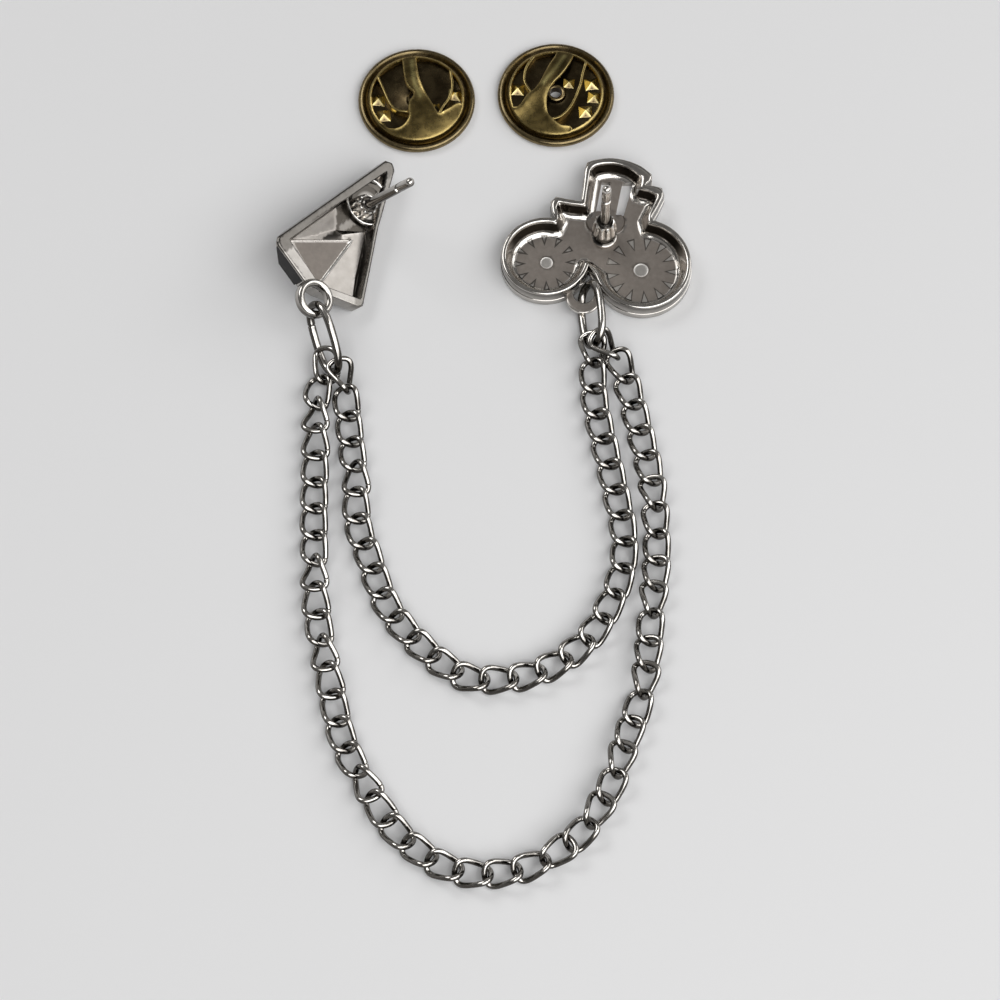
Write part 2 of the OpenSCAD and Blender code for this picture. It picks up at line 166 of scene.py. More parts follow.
def relief(loops, grid, solid, top, bottom, paint=None, ledge=None, wall=(0, 0, 0), lines=()):
    """Solid between bottom(xy) and top(xy) wherever solid(xy), meshed along the closed loops and the
    open lines. ledge = (height, under) steps the wall in or out at that height, where under(xy) gives
    the place of the lower side. wall = painted shade of the wall above and below that step and at its
    foot."""
    points, edges, count = [], [], 0
    for p, spare in [(p, 0) for p in loops] + [(p, 1) for p in lines]:
        p = np.asarray(p, float)
        edges += [(count + i, count + (i + 1) % len(p)) for i in range(len(p) - spare)]
        points.append(p)
        count += len(p)
    drawn = np.vstack(points)
    lo, hi = drawn.min(0), drawn.max(0)
    xs, ys = np.arange(lo[0], hi[0], grid), np.arange(lo[1], hi[1], grid)
    field = np.stack(np.meshgrid(xs, ys), -1).reshape(-1, 2)
    field[:, 0] += (np.round((field[:, 1] - lo[1]) / grid) % 2) * grid / 2
    field = field[solid(field)]
    near = np.array([np.min(((drawn - q) ** 2).sum(1)) for q in field])
    field = field[near > (FIELD_GAP * grid) ** 2]
    every = np.vstack([drawn, field])
    made = delaunay_2d_cdt([Vector(q) for q in every], edges, [], 0, 1e-5)
    flat = np.array([tuple(v) for v in made[0]])
    tris = np.array(made[2])
    a, b, c = flat[tris[:, 0]], flat[tris[:, 1]], flat[tris[:, 2]]
    turn = (b[:, 0] - a[:, 0]) * (c[:, 1] - a[:, 1]) - (b[:, 1] - a[:, 1]) * (c[:, 0] - a[:, 0])
    tris[turn < 0] = tris[turn < 0][:, ::-1]
    tris = tris[solid((a + b + c) / 3) & (np.abs(turn) > 1e-7)]
    used = np.unique(tris)
    index = np.full(len(flat), -1)
    index[used] = np.arange(len(used))
    tris, flat = index[tris].tolist(), flat[used]
    n = len(flat)
    upper = np.column_stack([flat, top(flat)])
    low_xy = flat if ledge is None else ledge[1](flat)
    lower = np.column_stack([low_xy, np.minimum(bottom(flat), upper[:, 2] - THINNEST)])
    directed = {(t[i], t[(i + 1) % 3]) for t in tris for i in range(3)}
    rim = [(i, j) for i, j in directed if (j, i) not in directed]
    faces = [tuple(t) for t in tris] + [tuple(i + n for i in t[::-1]) for t in tris]
    shifted = np.hypot(*(low_xy - flat).T) > 1e-3
    extra, steps = [], {}
    for i in sorted({i for edge in rim for i in edge if shifted[i]}):
        k = 2 * n + len(extra)
        steps[i] = [k, k + 1]
        extra += [(*flat[i], ledge[0]), (*low_xy[i], ledge[0] - LEDGE_DROP)]
    for i, j in rim:
        down, up = [i] + steps.get(i, []) + [i + n], [j] + steps.get(j, []) + [j + n]
        if len(down) == len(up):
            faces += [(down[k + 1], up[k + 1], up[k], down[k]) for k in range(len(down) - 1)]
        else:
            faces.append(tuple(down + up[::-1]))
    verts = np.vstack([upper, lower, np.reshape(extra, (-1, 3))])
    colours = np.zeros((len(verts), 2))
    if paint is not None:
        colours[:n] = np.column_stack(paint(flat))
    colours[n:2 * n, 1] = wall[2]
    colours[2 * n::2, 1], colours[2 * n + 1::2, 1] = wall[0], wall[1]
    return verts, faces, colours


def lathe(profile, n, shape=None, closed=False):
    """Solid turned about Z through (radius, height) rows, from the bottom up. shape may bend r."""
    rows = np.asarray(profile, float)
    turn = np.arange(n) * 2 * math.pi / n
    verts, rings = [], []
    for r, z in rows:
        if r < 1e-6:
            rings.append([len(verts)])
            verts.append((0, 0, z))
            continue
        rr = np.full(n, r) if shape is None else shape(r, z, turn)
        rings.append(list(range(len(verts), len(verts) + n)))
        verts += list(zip(rr * np.cos(turn), rr * np.sin(turn), np.full(n, z)))
    faces = []
    pairs = list(zip(rings, rings[1:])) + ([(rings[-1], rings[0])] if closed else [])
    for a, b in pairs:
        for i in range(n):
            j = (i + 1) % n
            face = dict.fromkeys([a[i % len(a)], a[j % len(a)], b[j % len(b)], b[i % len(b)]])
            if len(face) > 2:
                faces.append(tuple(face))
    v = np.array(verts, float)
    return v, faces, np.zeros((len(v), 2))


def tube(path, radius, up, sides):
    """Closed ring of wire along the path; radius and up may differ from point to point."""
    n = len(path)
    along = unit(np.roll(path, -1, 0) - np.roll(path, 1, 0))
    side = unit(np.cross(along, up))
    over = np.cross(side, along)
    t = np.arange(sides) * 2 * math.pi / sides
    r = np.broadcast_to(radius, n)[:, None, None]
    c, s = np.cos(t)[:, None], np.sin(t)[:, None]
    v = path[:, None] + r * (side[:, None] * c + over[:, None] * s)
    faces = []
    for i in range(n):
        k = (i + 1) % n
        for j in range(sides):
            m = (j + 1) % sides
            faces.append((k * sides + j, k * sides + m, i * sides + m, i * sides + j))
    return v.reshape(-1, 3), faces, np.zeros((n * sides, 2))


def moved(part, rotation=None, at=(0, 0, 0)):
    v, faces, paint = part
    if rotation is not None:
        v = v @ np.asarray(rotation).T
    return v + np.asarray(at, float), faces, paint


# painted shade on what faces sideways or down
UNDERSIDE_SHADE = 0.88


def shaded_underneath(part, rotation, reach=99.0):
    """The part with painted shade on its sides and lower faces as it lies, within reach of the Z axis."""
    v, faces, paint = part
    normals = np.zeros((len(v), 3))
    for face in faces:
        q = v[list(face)]
        normals[list(face)] += np.cross(q[2] - q[0], q[-1] - q[1] if len(q) > 3 else q[1] - q[0])
    up = (unit(normals) @ np.asarray(rotation).T)[:, 2]
    near = np.hypot(v[:, 0], v[:, 1]) < reach
    dark = UNDERSIDE_SHADE * (1 - step01(up, 0.1, 0.8))
    paint = paint.copy()
    paint[:, 1] = np.where(near, np.maximum(paint[:, 1], dark), paint[:, 1])
    return v, faces, paint


def turned(x, y, z):
    """Rotation about X, then Y, then Z, in degrees."""
    a, b, c = np.radians([x, y, z])
    rx = np.array([[1, 0, 0], [0, math.cos(a), -math.sin(a)], [0, math.sin(a), math.cos(a)]])
    ry = np.array([[math.cos(b), 0, math.sin(b)], [0, 1, 0], [-math.sin(b), 0, math.cos(b)]])
    rz = np.array([[math.cos(c), -math.sin(c), 0], [math.sin(c), math.cos(c), 0], [0, 0, 1]])
    return rz @ ry @ rx


def placed(name, data):
    """New object in the scene."""
    made = bpy.data.objects.new(name, data)
    bpy.context.scene.collection.objects.link(made)
    return made


SHARP = 38  # an edge that turns by more degrees than this stays sharp


def piece(name, parts, material, node, sharp=SHARP, painted_underside=None):
    """One shown object made of several parts, standing for a CAD node. The last argument, (lo, hi,
    shade), paints shade on what faces sideways or down: all of it where the normal's height is lo, none
    at hi."""
    verts, faces, paint, n = [], [], [], 0
    for v, f, colours in parts:
        verts.append(v)
        faces += [tuple(i + n for i in face) for face in f]
        paint.append(colours)
        n += len(v)
    mesh = bpy.data.meshes.new(name)
    mesh.from_pydata(((np.vstack(verts) - MID) * MM).tolist(), [], faces)
    paint = np.vstack(paint)
    # painted shade on what faces sideways or down
    if painted_underside is not None:
        up = np.zeros(3 * n)
        mesh.vertices.foreach_get("normal", up)
        lo, hi, most = painted_underside
        paint[:, 1] = np.maximum(paint[:, 1], most * (1 - step01(up[2::3], lo, hi)))
    for key, column in zip(("matte", "shade"), paint.T):
        layer = mesh.attributes.new(key, "FLOAT", "POINT")
        layer.data.foreach_set("value", column.astype(np.float32))
    mesh.polygons.foreach_set("use_smooth", [True] * len(mesh.polygons))
    mesh.set_sharp_from_angle(angle=math.radians(sharp))
    mesh.materials.append(material)
    made = placed(name, mesh)
    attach(made, "root" if "root" in frame["bodies"] else next(iter(frame["bodies"])))
    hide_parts(node)


# Materials

NOISE_ROUGHNESS = 0.55


class Nodes:
    """Short calls for building one material's node tree."""

    def __init__(self, name):
        self.material = bpy.data.materials.new(name)
        self.material.use_nodes = True
        self.tree = self.material.node_tree
        self.shader = self.tree.nodes["Principled BSDF"]
        self.coords = self.node("TexCoord", {}).outputs["Object"]

    def put(self, node, key, value):
        """Links another node's output to a node's input, or sets it to a number or colour."""
        if isinstance(value, bpy.types.NodeSocket):
            self.tree.links.new(value, node.inputs[key])
        else:
            node.inputs[key].default_value = (*value, 1) if isinstance(value, tuple) else value

    def node(self, kind, inputs, **settings):
        """New node with these inputs and settings."""
        made = self.tree.nodes.new("ShaderNode" + kind)
        for key, value in settings.items():
            setattr(made, key, value)
        for key, value in inputs.items():
            self.put(made, key, value)
        return made

    def shade(self, **inputs):
        """Sets inputs of the shader. A low line in a name stands for a space."""
        for key, value in inputs.items():
            self.put(self.shader, key.replace("_", " "), value)

    def noise(self, per_mm, detail=3.0):
        inputs = {"Scale": per_mm / MM, "Detail": detail, "Roughness": NOISE_ROUGHNESS}
        return self.node("TexNoise", inputs | {"Vector": self.coords}).outputs["Fac"]

    def painted(self, key):
        return self.node("Attribute", {}, attribute_name=key).outputs["Fac"]

    def span(self, value, lo, hi, out_lo, out_hi):
        inputs = {"From Min": lo, "From Max": hi, "To Min": out_lo, "To Max": out_hi, "Value": value}
        return self.node("MapRange", inputs).outputs["Result"]

    def uneven(self, per_mm, lo, hi, out=(0, 1), detail=3.0):
        """Noise stretched from lo and hi to the range out."""
        return self.span(self.noise(per_mm, detail), lo, hi, *out)

    def mix(self, factor, a, b):
        return self.node("Mix", {0: factor, 2: a, 3: b}).outputs[0]

    def blend(self, factor, a, b):
        """Mix of two colours."""
        return self.node("Mix", {0: factor, 6: a, 7: b}, data_type="RGBA").outputs[2]

    def toned(self, colour, bright, dark):
        """The colour, lit by painted highlight or darkened by painted shade where it is painted so."""
        shade = self.painted("shade")
        highlighted = self.blend(self.span(shade, -1, 0, 1, 0), colour, bright)
        return self.blend(self.span(shade, 0, 1, 0, 1), highlighted, dark)

    def times(self, a, b):
        return self.node("Math", {0: a, 1: b}, operation="MULTIPLY").outputs[0]

    def worn(self, lo, hi):
        """1 on outward edges, 0 in hollows."""
        return self.span(self.node("NewGeometry", {}).outputs["Pointiness"], lo, hi, 0, 1)

    def bump(self, height, depth_mm, strength, over=None):
        inputs = {"Height": height, "Distance": depth_mm * MM, "Strength": strength}
        if over is not None:
            inputs["Normal"] = over
        return self.node("Bump", inputs).outputs["Normal"]


# two tones of the sandblasted ground, and the colours of painted highlight and painted shade on nickel
# and brass
GROUND_DARK, GROUND_PALE = (0.325, 0.29, 0.26), (0.375, 0.335, 0.30)
NICKEL_PAINTED_HIGHLIGHT, NICKEL_PAINTED_SHADE = (0.97, 0.95, 0.91), (0.035, 0.03, 0.024)
BRASS_PAINTED_HIGHLIGHT, BRASS_PAINTED_SHADE = (1.0, 0.86, 0.36), (0.035, 0.022, 0.01)
BLACK, SOFT_BLACK = (0.012, 0.012, 0.012), (0.022, 0.021, 0.02)
GROUND_ROUGHNESS = 0.52


def nickel(name, bright, dull, rough, waves):
    """Nickel plate: slightly warm, a little uneven, with a fine-grained matte ground where painted so.
    rough = range of the roughness, waves = how many to a millimetre and how deep."""
    n = Nodes(name)
    matte = n.painted("matte")
    tone = n.blend(n.uneven(0.9, 0.35, 0.65), dull, bright)
    ground = n.blend(n.uneven(2.2, 0.3, 0.7), GROUND_DARK, GROUND_PALE)
    wavy = n.bump(n.noise(waves[0], 2.0), waves[1], 0.6)
    plated = n.blend(matte, tone, ground)
    # the base colour carries the painted highlight and painted shade
    n.shade(Metallic=1.0, Base_Color=n.toned(plated, NICKEL_PAINTED_HIGHLIGHT, NICKEL_PAINTED_SHADE),
            Roughness=n.mix(matte, n.uneven(1.7, 0.3, 0.7, rough), GROUND_ROUGHNESS),
            Normal=n.bump(n.times(n.noise(9.0, 4.0), matte), 0.02, 0.5, wavy))
    return n.material


def brass(name, clean, aged, dark, rough):
    """Antique brass: dark in the hollows, worn yellow on the edges, with soft blotches."""
    n = Nodes(name)
    patina = n.blend(n.uneven(0.7, 0.38, 0.62, detail=4.0), aged, dark)
    worn = n.blend(n.worn(0.5, 0.57), patina, clean)
    # the base colour carries the painted highlight and painted shade
    n.shade(Metallic=1.0, Base_Color=n.toned(worn, BRASS_PAINTED_HIGHLIGHT, BRASS_PAINTED_SHADE),
            Roughness=n.uneven(1.5, 0.3, 0.7, rough), Normal=n.bump(n.noise(2.5), 0.012, 0.5))
    return n.material


def enamel(name):
    """Black enamel, glossy and a little wavy."""
    n = Nodes(name)
    n.shade(Base_Color=n.blend(n.uneven(0.5, 0.4, 0.6), BLACK, SOFT_BLACK), Specular_IOR_Level=0.2,
            Roughness=n.uneven(2.0, 0.3, 0.7, (0.16, 0.26)), Normal=n.bump(n.noise(0.8, 2.0), 0.01, 0.4))
    return n.material


# nickel: pale tone, dull tone, roughness, waves. brass: worn edges, two tones of the patina, roughness
CAST = nickel("cast_nickel", (0.74, 0.71, 0.67), (0.62, 0.59, 0.55), (0.10, 0.20), (1.1, 0.03))
WIRE = nickel("wire_nickel", (0.95, 0.92, 0.87), (0.62, 0.585, 0.54), (0.10, 0.18), (1.6, 0.014))
CUP = brass("cup_brass", (0.40, 0.31, 0.16), (0.15, 0.115, 0.06), (0.06, 0.045, 0.024), (0.2, 0.32))
SPRING = brass("spring_brass", (0.56, 0.43, 0.17), (0.28, 0.205, 0.075), (0.15, 0.11, 0.04), (0.22, 0.34))
ENAMEL = enamel("black_enamel")


# Pin post

FLUTES, FLUTE_CUT = 10, 0.17
POST_R, POST_H = 0.45, 10.2
COLLAR_H = 1.72
COLLAR_TOP, LEFT_COLLAR_TOP = 3.3, 1.9
COLLAR_FOOT = 0.3  # from the narrow part under the collar up to its lower edge
# foot ring: radius, height above the plate
FOOT_RING = [(0, -0.02), (1.12, -0.02), (1.22, 0.06), (1.26, 0.18), (1.22, 0.32), (1.08, 0.42),
             (0.99, 0.5)]
# collar: radius, height above its lower edge
COLLAR = [(0.97, -0.28), (1.0, -0.13), (1.12, -0.08), (1.2, 0), (1.2, 0.27), (1.16, 0.72), (1.1, 1.17),
          (1.04, 1.52)]
# small cup round the shaft: radius, height above the collar's top
SHAFT_CUP = [(0.98, -0.06), (0.88, 0.01), (0.8, -0.01), (0.74, -0.1), (0.66, -0.16), (0.58, -0.08),
             (POST_R + 0.02, 0.04), (POST_R, 0.12)]
# neck that the clutch snaps into, up to the tip: radius, height above the foot
NECK = [(POST_R, 7.52), (0.43, 7.6), (0.3, 7.68), (0.27, 7.76), (0.3, 7.84), (0.42, 7.93), (POST_R, 8.02),
        (POST_R, 9.7)]
TIP_ANGLES = np.radians([12, 30, 48, 66, 80])
IN_CUP_SHADE, UNDER_COLLAR_SHADE = 0.75, 0.92


def post(top):
    """Foot ring, fluted collar with a small cup in its top, shaft, neck and rounded tip."""
    low = top - COLLAR_H

    def flute(r, z, turn):
        cut = FLUTE_CUT * step01(z, low, low + 0.25) if r > 0.9 and low <= z <= top - 0.04 else 0.0
        return r - cut * (0.5 - 0.5 * np.cos(FLUTES * turn)) ** 1.5

    # a collar that sits low covers the foot ring
    start = low - COLLAR_FOOT
    rows = [row for row in FOOT_RING if row[1] < start] or [(0, start)]
    rows += [(r, low + z) for r, z in COLLAR] + [(r, top + z) for r, z in SHAFT_CUP] + NECK
    rows += [(POST_R * math.cos(t), POST_H - POST_R + POST_R * math.sin(t)) for t in TIP_ANGLES]
    rows.append((0, POST_H))
    v, faces, paint = lathe(rows, 80, flute)
    far, z = np.hypot(v[:, 0], v[:, 1]), v[:, 2]
    in_cup = (far < 0.76) & (np.abs(z - top) < 0.3)
    under_collar = (far > 0.9) & (z > 0.4) & (z < low + 0.1)
    on_flutes = (far > 0.85) & (z > low + 0.2) & (z < top + 0.05)
    ridge = np.cos(FLUTES * np.arctan2(v[:, 1], v[:, 0]))
    # painted shade in the cup and under the collar, painted highlight on the flutes' ridges
    paint[:, 1] = IN_CUP_SHADE * in_cup + UNDER_COLLAR_SHADE * under_collar
    paint[:, 1] += np.where(on_flutes, -0.35 - 0.9 * ridge, 0)
    return v, faces, paint


# Right badge

LENS_R, LENS_L = np.array([13.68, 23.87]), np.array([4.38, 24.68])


def smoothed(points, first, last):
    """The list with its points from first to last joined by a curve."""
    return np.vstack([points[:first], curve(points[first:last + 1], 5), points[last + 1:]])


HAT_OUTER = smoothed([
    [14.7, 28.9], [15.3, 30.0], [15.9, 31.3], [15.7, 32.1], [14.9, 32.35], [14.15, 32.4], [14.75, 33.0],
    [14.75, 33.6], [13.7, 34.5], [12.4, 35.1], [10.9, 35.4], [9.3, 35.2], [8.5, 34.9], [8.2, 34.1],
    [8.0, 32.1], [7.8, 30.65], [6.5, 30.9], [5.4, 31.15], [4.9, 30.6], [5.0, 29.5], [5.3, 28.8]], 7, 12)
HAT_INNER = smoothed([
    [14.2, 29.0], [14.8, 30.3], [15.2, 31.3], [14.4, 31.75], [13.55, 31.95], [13.7, 33.3], [12.5, 34.3],
    [10.9, 34.75], [9.4, 34.55], [8.8, 34.0], [8.5, 31.9], [8.25, 30.1], [7.0, 30.25], [5.7, 30.5],
    [5.5, 29.9], [5.75, 29.0]], 5, 9)
BADGE_OUTER = np.vstack([
    arc(*LENS_R, 4.72, 4.85, 197, 436, 48), HAT_OUTER, arc(*LENS_L, 4.28, 4.2, 76, 346, 48)])
BADGE_INNER = np.vstack([
    arc(*LENS_R, 4.2, 4.33, 190, 441, 48), HAT_INNER, arc(*LENS_L, 3.76, 3.68, 74, 353, 48),
    [[8.78, 23.7]]])
SLOTS = [np.array([[11.9, 33.4], [13.0, 33.4], [12.0, 29.8], [11.2, 29.8]]),
         np.array([[9.9, 33.5], [10.8, 33.5], [10.1, 30.3], [9.3, 30.3]])]
# triangular marks round a lens: middle, count, first angle, tip radius, base radius, half width
MARKS = [(LENS_R, 13, 80, 2.1, 3.5, 0.42), (LENS_L, 12, 92, 1.8, 3.0, 0.36)]
# their depth, the steepness of their sides, and how far one reaches from its middle
MARK_DEPTH, MARK_STEEP, MARK_REACH = 0.13, 1.3, 1.2
# middle and radius of the round dimples, then their depth and their lip's height and place in radii
DIMPLES = [((13.6, 23.9), 0.63), ((4.5, 24.7), 0.54)]
DIMPLE_DEPTH, DIMPLE_LIP, LIP_AT = 0.12, 0.03, 1.08
PLATE_Z, RIM_Z, RIM_CROWN = 0.6, 2.2, 0.11
# inner side of the rim's wall: distance from the edge of the matte floor, height above it
COVE = np.array([
    [0, 0], [0.05, 0.01], [0.2, 0.075], [0.35, 0.165], [0.5, 0.27], [0.6, 0.5], [0.95, 1.44]])
WALL = COVE[-1, 0]
PADS, PAD_R, PAD_H = np.array([[9.54, 29.05], [10.9, 29.05]]), 1.25, 0.3
LEDGE_Z, LEDGE_OUT = 0.95, 0.05  # the wall steps out by this much below this height
RIGHT_POST = (10.08, 27.45, PLATE_Z)
# enamel recesses in the front: the two lenses and the bar between them
PANELS = [spaced(circle(mid, r, 60), 0.4) for mid, r in ((LENS_R, 3.24), (LENS_L, 2.84))]
BAR_HALF, RECESS = 0.64, 0.28
# chain tab and its eye
TAB_AT, TAB_R, TAB_LOW, TAB_TOP = (8.0, 20.6), 1.65, 0.92, 1.36
EYE_AT, EYE_R = (8.04, 21.02), 0.98


def mark_shapes():
    shapes = []
    for mid, count, first, tip, base, half in MARKS:
        for i in range(count):
            a = math.radians(first + 360 / count * i)
            u, v = np.array([math.cos(a), math.sin(a)]), np.array([-math.sin(a), math.cos(a)])
            shapes.append(np.array([mid + u * tip, mid + u * base + v * half, mid + u * base - v * half]))
    return shapes


def right_plate():
    """The badge's plate with its rim: hat and lenses in one outline, seen from the back."""
    marks = mark_shapes()

    def solid(p):
        return np.all([depth(p, BADGE_OUTER) > 0] + [depth(p, s) < 0 for s in SLOTS], axis=0)

    def in_marks(p):
        """Distance inside the nearest mark, 0 outside them all."""
        deep = np.zeros(len(p))
        for m in marks:
            near = np.linalg.norm(p - m.mean(0), axis=1) < MARK_REACH
            if near.any():
                deep[near] = np.maximum(deep[near], depth(p[near], m))
        return deep

    def from_dimples(p):
        """Distance from the middle of each dimple, in its radii."""
        return [away(p, mid) / r for mid, r in DIMPLES]

    def on_pad(p):
        """Distance inside the two-lobed pad."""
        return np.max([PAD_R - away(p, q) for q in PADS], axis=0)

    def top(p):
        do, di = depth(p, BADGE_OUTER), depth(p, BADGE_INNER)
        across = np.clip(do / np.maximum(do - di, 0.1), 0, 1)
        rim = RIM_Z - RIM_CROWN * (2 * across - 1) ** 2 - rounded(do, 0.1) - rounded(-di, 0.08)
        floor = PLATE_Z - np.minimum(MARK_DEPTH, MARK_STEEP * in_marks(p))
        for far in from_dimples(p):
            floor -= DIMPLE_DEPTH * np.clip(1 - far**2, 0, 1)
            floor += DIMPLE_LIP * np.exp(-((far - LIP_AT) / 0.08) ** 2)
        floor += PAD_H * step01(on_pad(p), 0, 0.14)
        for s in SLOTS:
            floor -= 0.1 * rounded(-depth(p, s), 0.12) / 0.12
        rise = np.interp(WALL - di, *COVE.T)
        return np.where(di > 0, np.maximum(floor, PLATE_Z + rise), rim)

    def bottom(p):
        bar = (p[:, 0] > LENS_L[0]) & (p[:, 0] < LENS_R[0]) & (np.abs(p[:, 1] - LENS_L[1]) < BAR_HALF)
        recess = np.any([bar] + [depth(p, q) > 0 for q in PANELS], axis=0)
        return np.where(recess, RECESS, rounded(depth(p, BADGE_OUTER), 0.15))

    def paint(p):
        dimple, pad = np.min(from_dimples(p), axis=0), on_pad(p)
        cut, deep = in_marks(p), depth(p, BADGE_INNER)
        in_dimple = dimple < 0.9
        pad_edge = np.abs(pad - 0.03) < 0.05
        ground = step01(deep, WALL - 0.1, WALL)
        ground *= 1 - 0.35 * (cut > 0.01)
        ground *= 1 - 0.3 * in_dimple - 0.5 * pad_edge
        # painted shade and highlight: the marks' bottoms bright between dark sides, the pad and its edge
        # darker, the dimples bright inside and their lips bright beside a dark line
        shade = 0.25 * (pad > 0.1) - 0.4 * (cut > 0.12) + 0.75 * ((cut > 0.005) & (cut < 0.12))
        shade += 0.6 * pad_edge
        shade += 0.5 * (np.abs(dimple - 1.2) < 0.03) - 0.9 * (np.abs(dimple - 1.04) < 0.06)
        shade -= 0.45 * in_dimple
        shade = np.where(deep > 0, shade, 0)
        # a painted dark line along the outer edge
        shade[depth(p, BADGE_OUTER) < 0.01] = 0.85
        # painted shade on the far side of the wall where it is steep
        facing = step01(-slope(p, BADGE_INNER)[:, 1], 0.0, 0.6)
        far_wall = facing * (deep > 0.04) * step01(WALL - deep, 0.46, 0.56)
        return ground, np.where(far_wall > 0.1, far_wall, shade)

    def under(p):
        """Pushes the wall's lower half out by the ledge's width."""
        out = LEDGE_OUT * np.clip(1 - depth(p, BADGE_OUTER) / 0.5, 0, 1)
        return p - slope(p, BADGE_OUTER) * out[:, None]

    loops = [spaced(BADGE_OUTER, 0.3), spaced(BADGE_INNER, 0.3)]
    loops += insets(BADGE_OUTER, (0.02, 0.08, 0.16, 0.26))
    loops += insets(BADGE_INNER, (-0.16, -0.08, -0.03, 0.06, 0.2, 0.35, 0.45, 0.6, 0.75, 0.9, 0.95))
    for m in marks:
        loops.append(spaced(m, 0.3))
        loops += [m * k + m.mean(0) * (1 - k) for k in (0.93, 0.72, 0.55)]
    for s in SLOTS:
        loops += [spaced(s, 0.3), inset(s, -0.12)]
    for mid, r in DIMPLES:
        loops += [circle(mid, r * k, 24) for k in (0.5, 0.85, 1.0, LIP_AT, 1.2)]
    for mid in PADS:
        loops += [circle(mid, PAD_R - d, 60) for d in (-0.02, 0.03, 0.08, 0.14)]
    loops += [inset(q, 0.03) for q in PANELS]
    # painted shade on the outer wall above and below the ledge and at its foot
    return relief(loops, 0.24, solid, top, bottom, paint, (LEDGE_Z, under), (0.35, 0.1, 0.5))


def chain_tab():
    """Round tab with the eye that the right jump ring goes through."""
    def edge(p):
        return np.minimum(TAB_R - away(p, TAB_AT), away(p, EYE_AT) - EYE_R)

    def paint(p):
        return 0.95 * step01(edge(p), 0.05, 0.12), 0 * p[:, 0]

    loops = [circle(TAB_AT, TAB_R - d, 60) for d in (0, 0.02, 0.08)]
    loops += [circle(EYE_AT, EYE_R + d, 45) for d in (0, 0.02, 0.08)]
    return relief(loops, 0.2, lambda p: edge(p) > 0, lambda p: TAB_TOP - rounded(edge(p), 0.1),
                  lambda p: TAB_LOW + rounded(edge(p), 0.08), paint)


def right_badge():
    return [right_plate(), chain_tab(), moved(post(COLLAR_TOP), None, RIGHT_POST)]


# Left badge

LEAN = turned(8.75, 31.75, 0)
# place of the post's foot, and how far the rim lies above it
LEFT_FOOT, RIM_UP = np.array([-13.6, 29.55, 2.5]), 1.0
SHELL_OUTER = np.array([
    [1.9, 5.25], [2.65, 5.2], [3.0, 4.55], [1.8, -1.8], [1.4, -5.7], [0.95, -9.9], [0.6, -10.15],
    [-3.2, -9.75], [-4.8, -9.6], [-5.6, -9.05], [-8.7, -6.25], [-8.9, -5.9], [-8.75, -5.3]])
SHELL_INNER = np.array([
    [-7.55, -5.35], [-2.1, 0.1], [2.1, 4.15], [1.3, -1.9], [0.95, -5.7], [0.5, -9.3], [-2.9, -9.0],
    [-4.3, -8.6]])
PLATEAU = np.array([[-7.1, -5.2], [-0.6, -3.5], [-3.5, -8.5], [-4.3, -8.5]])
# corners of the hollow's floor: x, y, height
FLOOR = np.array([
    [-7.55, -5.35, -1.0], [-2.6, -0.45, -0.95], [-2.15, -2.6, -1.5], [-3.4, -3.9, -1.3],
    [-1.5, -3.0, -1.15], [1.1, -2.0, -1.3], [0.3, -7.0, -1.05], [0.2, -9.2, -1.0], [-3.4, -8.8, -1.1],
    [2.1, 4.15, -1.1], [1.3, -1.9, -1.5], [0.95, -5.7, -1.5], [0.5, -9.3, -1.3]])
FLOOR_FACETS = [
    (0, 1, 2), (0, 2, 3), (2, 4, 3), (1, 5, 2), (2, 5, 4), (1, 9, 5), (4, 5, 6), (4, 6, 8), (6, 7, 8),
    (3, 4, 8), (0, 3, 8), (9, 10, 5), (5, 10, 11), (5, 11, 6), (6, 11, 12), (6, 12, 7)]
FLOOR_Z = -1.3  # height of the floor outside these facets
# the floor's polish and painted shade: polish, painted shade, outline
FLOOR_POLISH_AND_SHADE = [
    (0.55, 0.05, [[-7.6, -5.4], [-2.6, -0.4], [-2.15, -2.6], [-3.4, -3.9]]),
    (0.5, 0.75, [[-3.4, -3.9], [-2.15, -2.6], [-1.5, -3.2], [-1.4, -3.8]]),
    (0.35, 0.94, [[-2.6, -0.4], [-0.8, 1.2], [1.3, -1.7], [1.1, -2.0], [-1.5, -2.95], [-2.15, -2.6]]),
    (0.5, 0.65, [[-1.9, -2.3], [-0.5, -0.9], [0.1, -1.3], [-1.3, -2.6]]),
    (0.45, 0.22, [[-1.5, -3.0], [1.0, -2.1], [0.75, -3.6], [0.25, -6.6], [0.1, -9.4], [-4.3, -8.7],
                  [-0.6, -3.5]]),
    (0.45, 0.78, [[1.08, -2.0], [1.4, -1.9], [1.3, -3.6], [0.65, -9.4], [0.18, -9.4], [0.28, -7.0]]),
    (0.3, 0.55, [[1.3, 2.4], [2.2, 4.3], [2.4, 3.0], [1.7, 0.8], [1.2, 1.4]])]
SHELL_H, PLATEAU_Z = 1.8, -0.7
# the cove between the rim and the hollow: its width, and how far its upper edge lies under the rim
COVE_W, COVE_DROP = 0.16, 0.1
# the bead round the plateau: half width, height, height along the right side
BEAD_R, BEAD_H, BEAD_TALL = 0.13, 0.06, 0.17
LOOP_AT, LOOP_HOLE_R, LOOP_WALL, LOOP_T = np.array([-4.57, -10.67, 0.35]), 1.2, 0.72, 1.1
BOSS_AT, BOSS_R = np.array([0.6, 0.75]), 2.4
# dished boss under the post: radius, height, painted shade (a painted highlight where below 0)
BOSS = [(0, -1.5, 0), (2.38, -1.5, 0.9), (2.4, -0.55, 0.9), (2.38, -0.42, -0.6), (2.32, -0.34, -1),
        (2.24, -0.33, -1), (2.17, -0.38, -0.6), (2.1, -0.5, 0.75), (1.95, -0.6, 0.85), (1.6, -0.66, 0.6),
        (1.2, -0.68, 0.5), (0, -0.68, 0)]
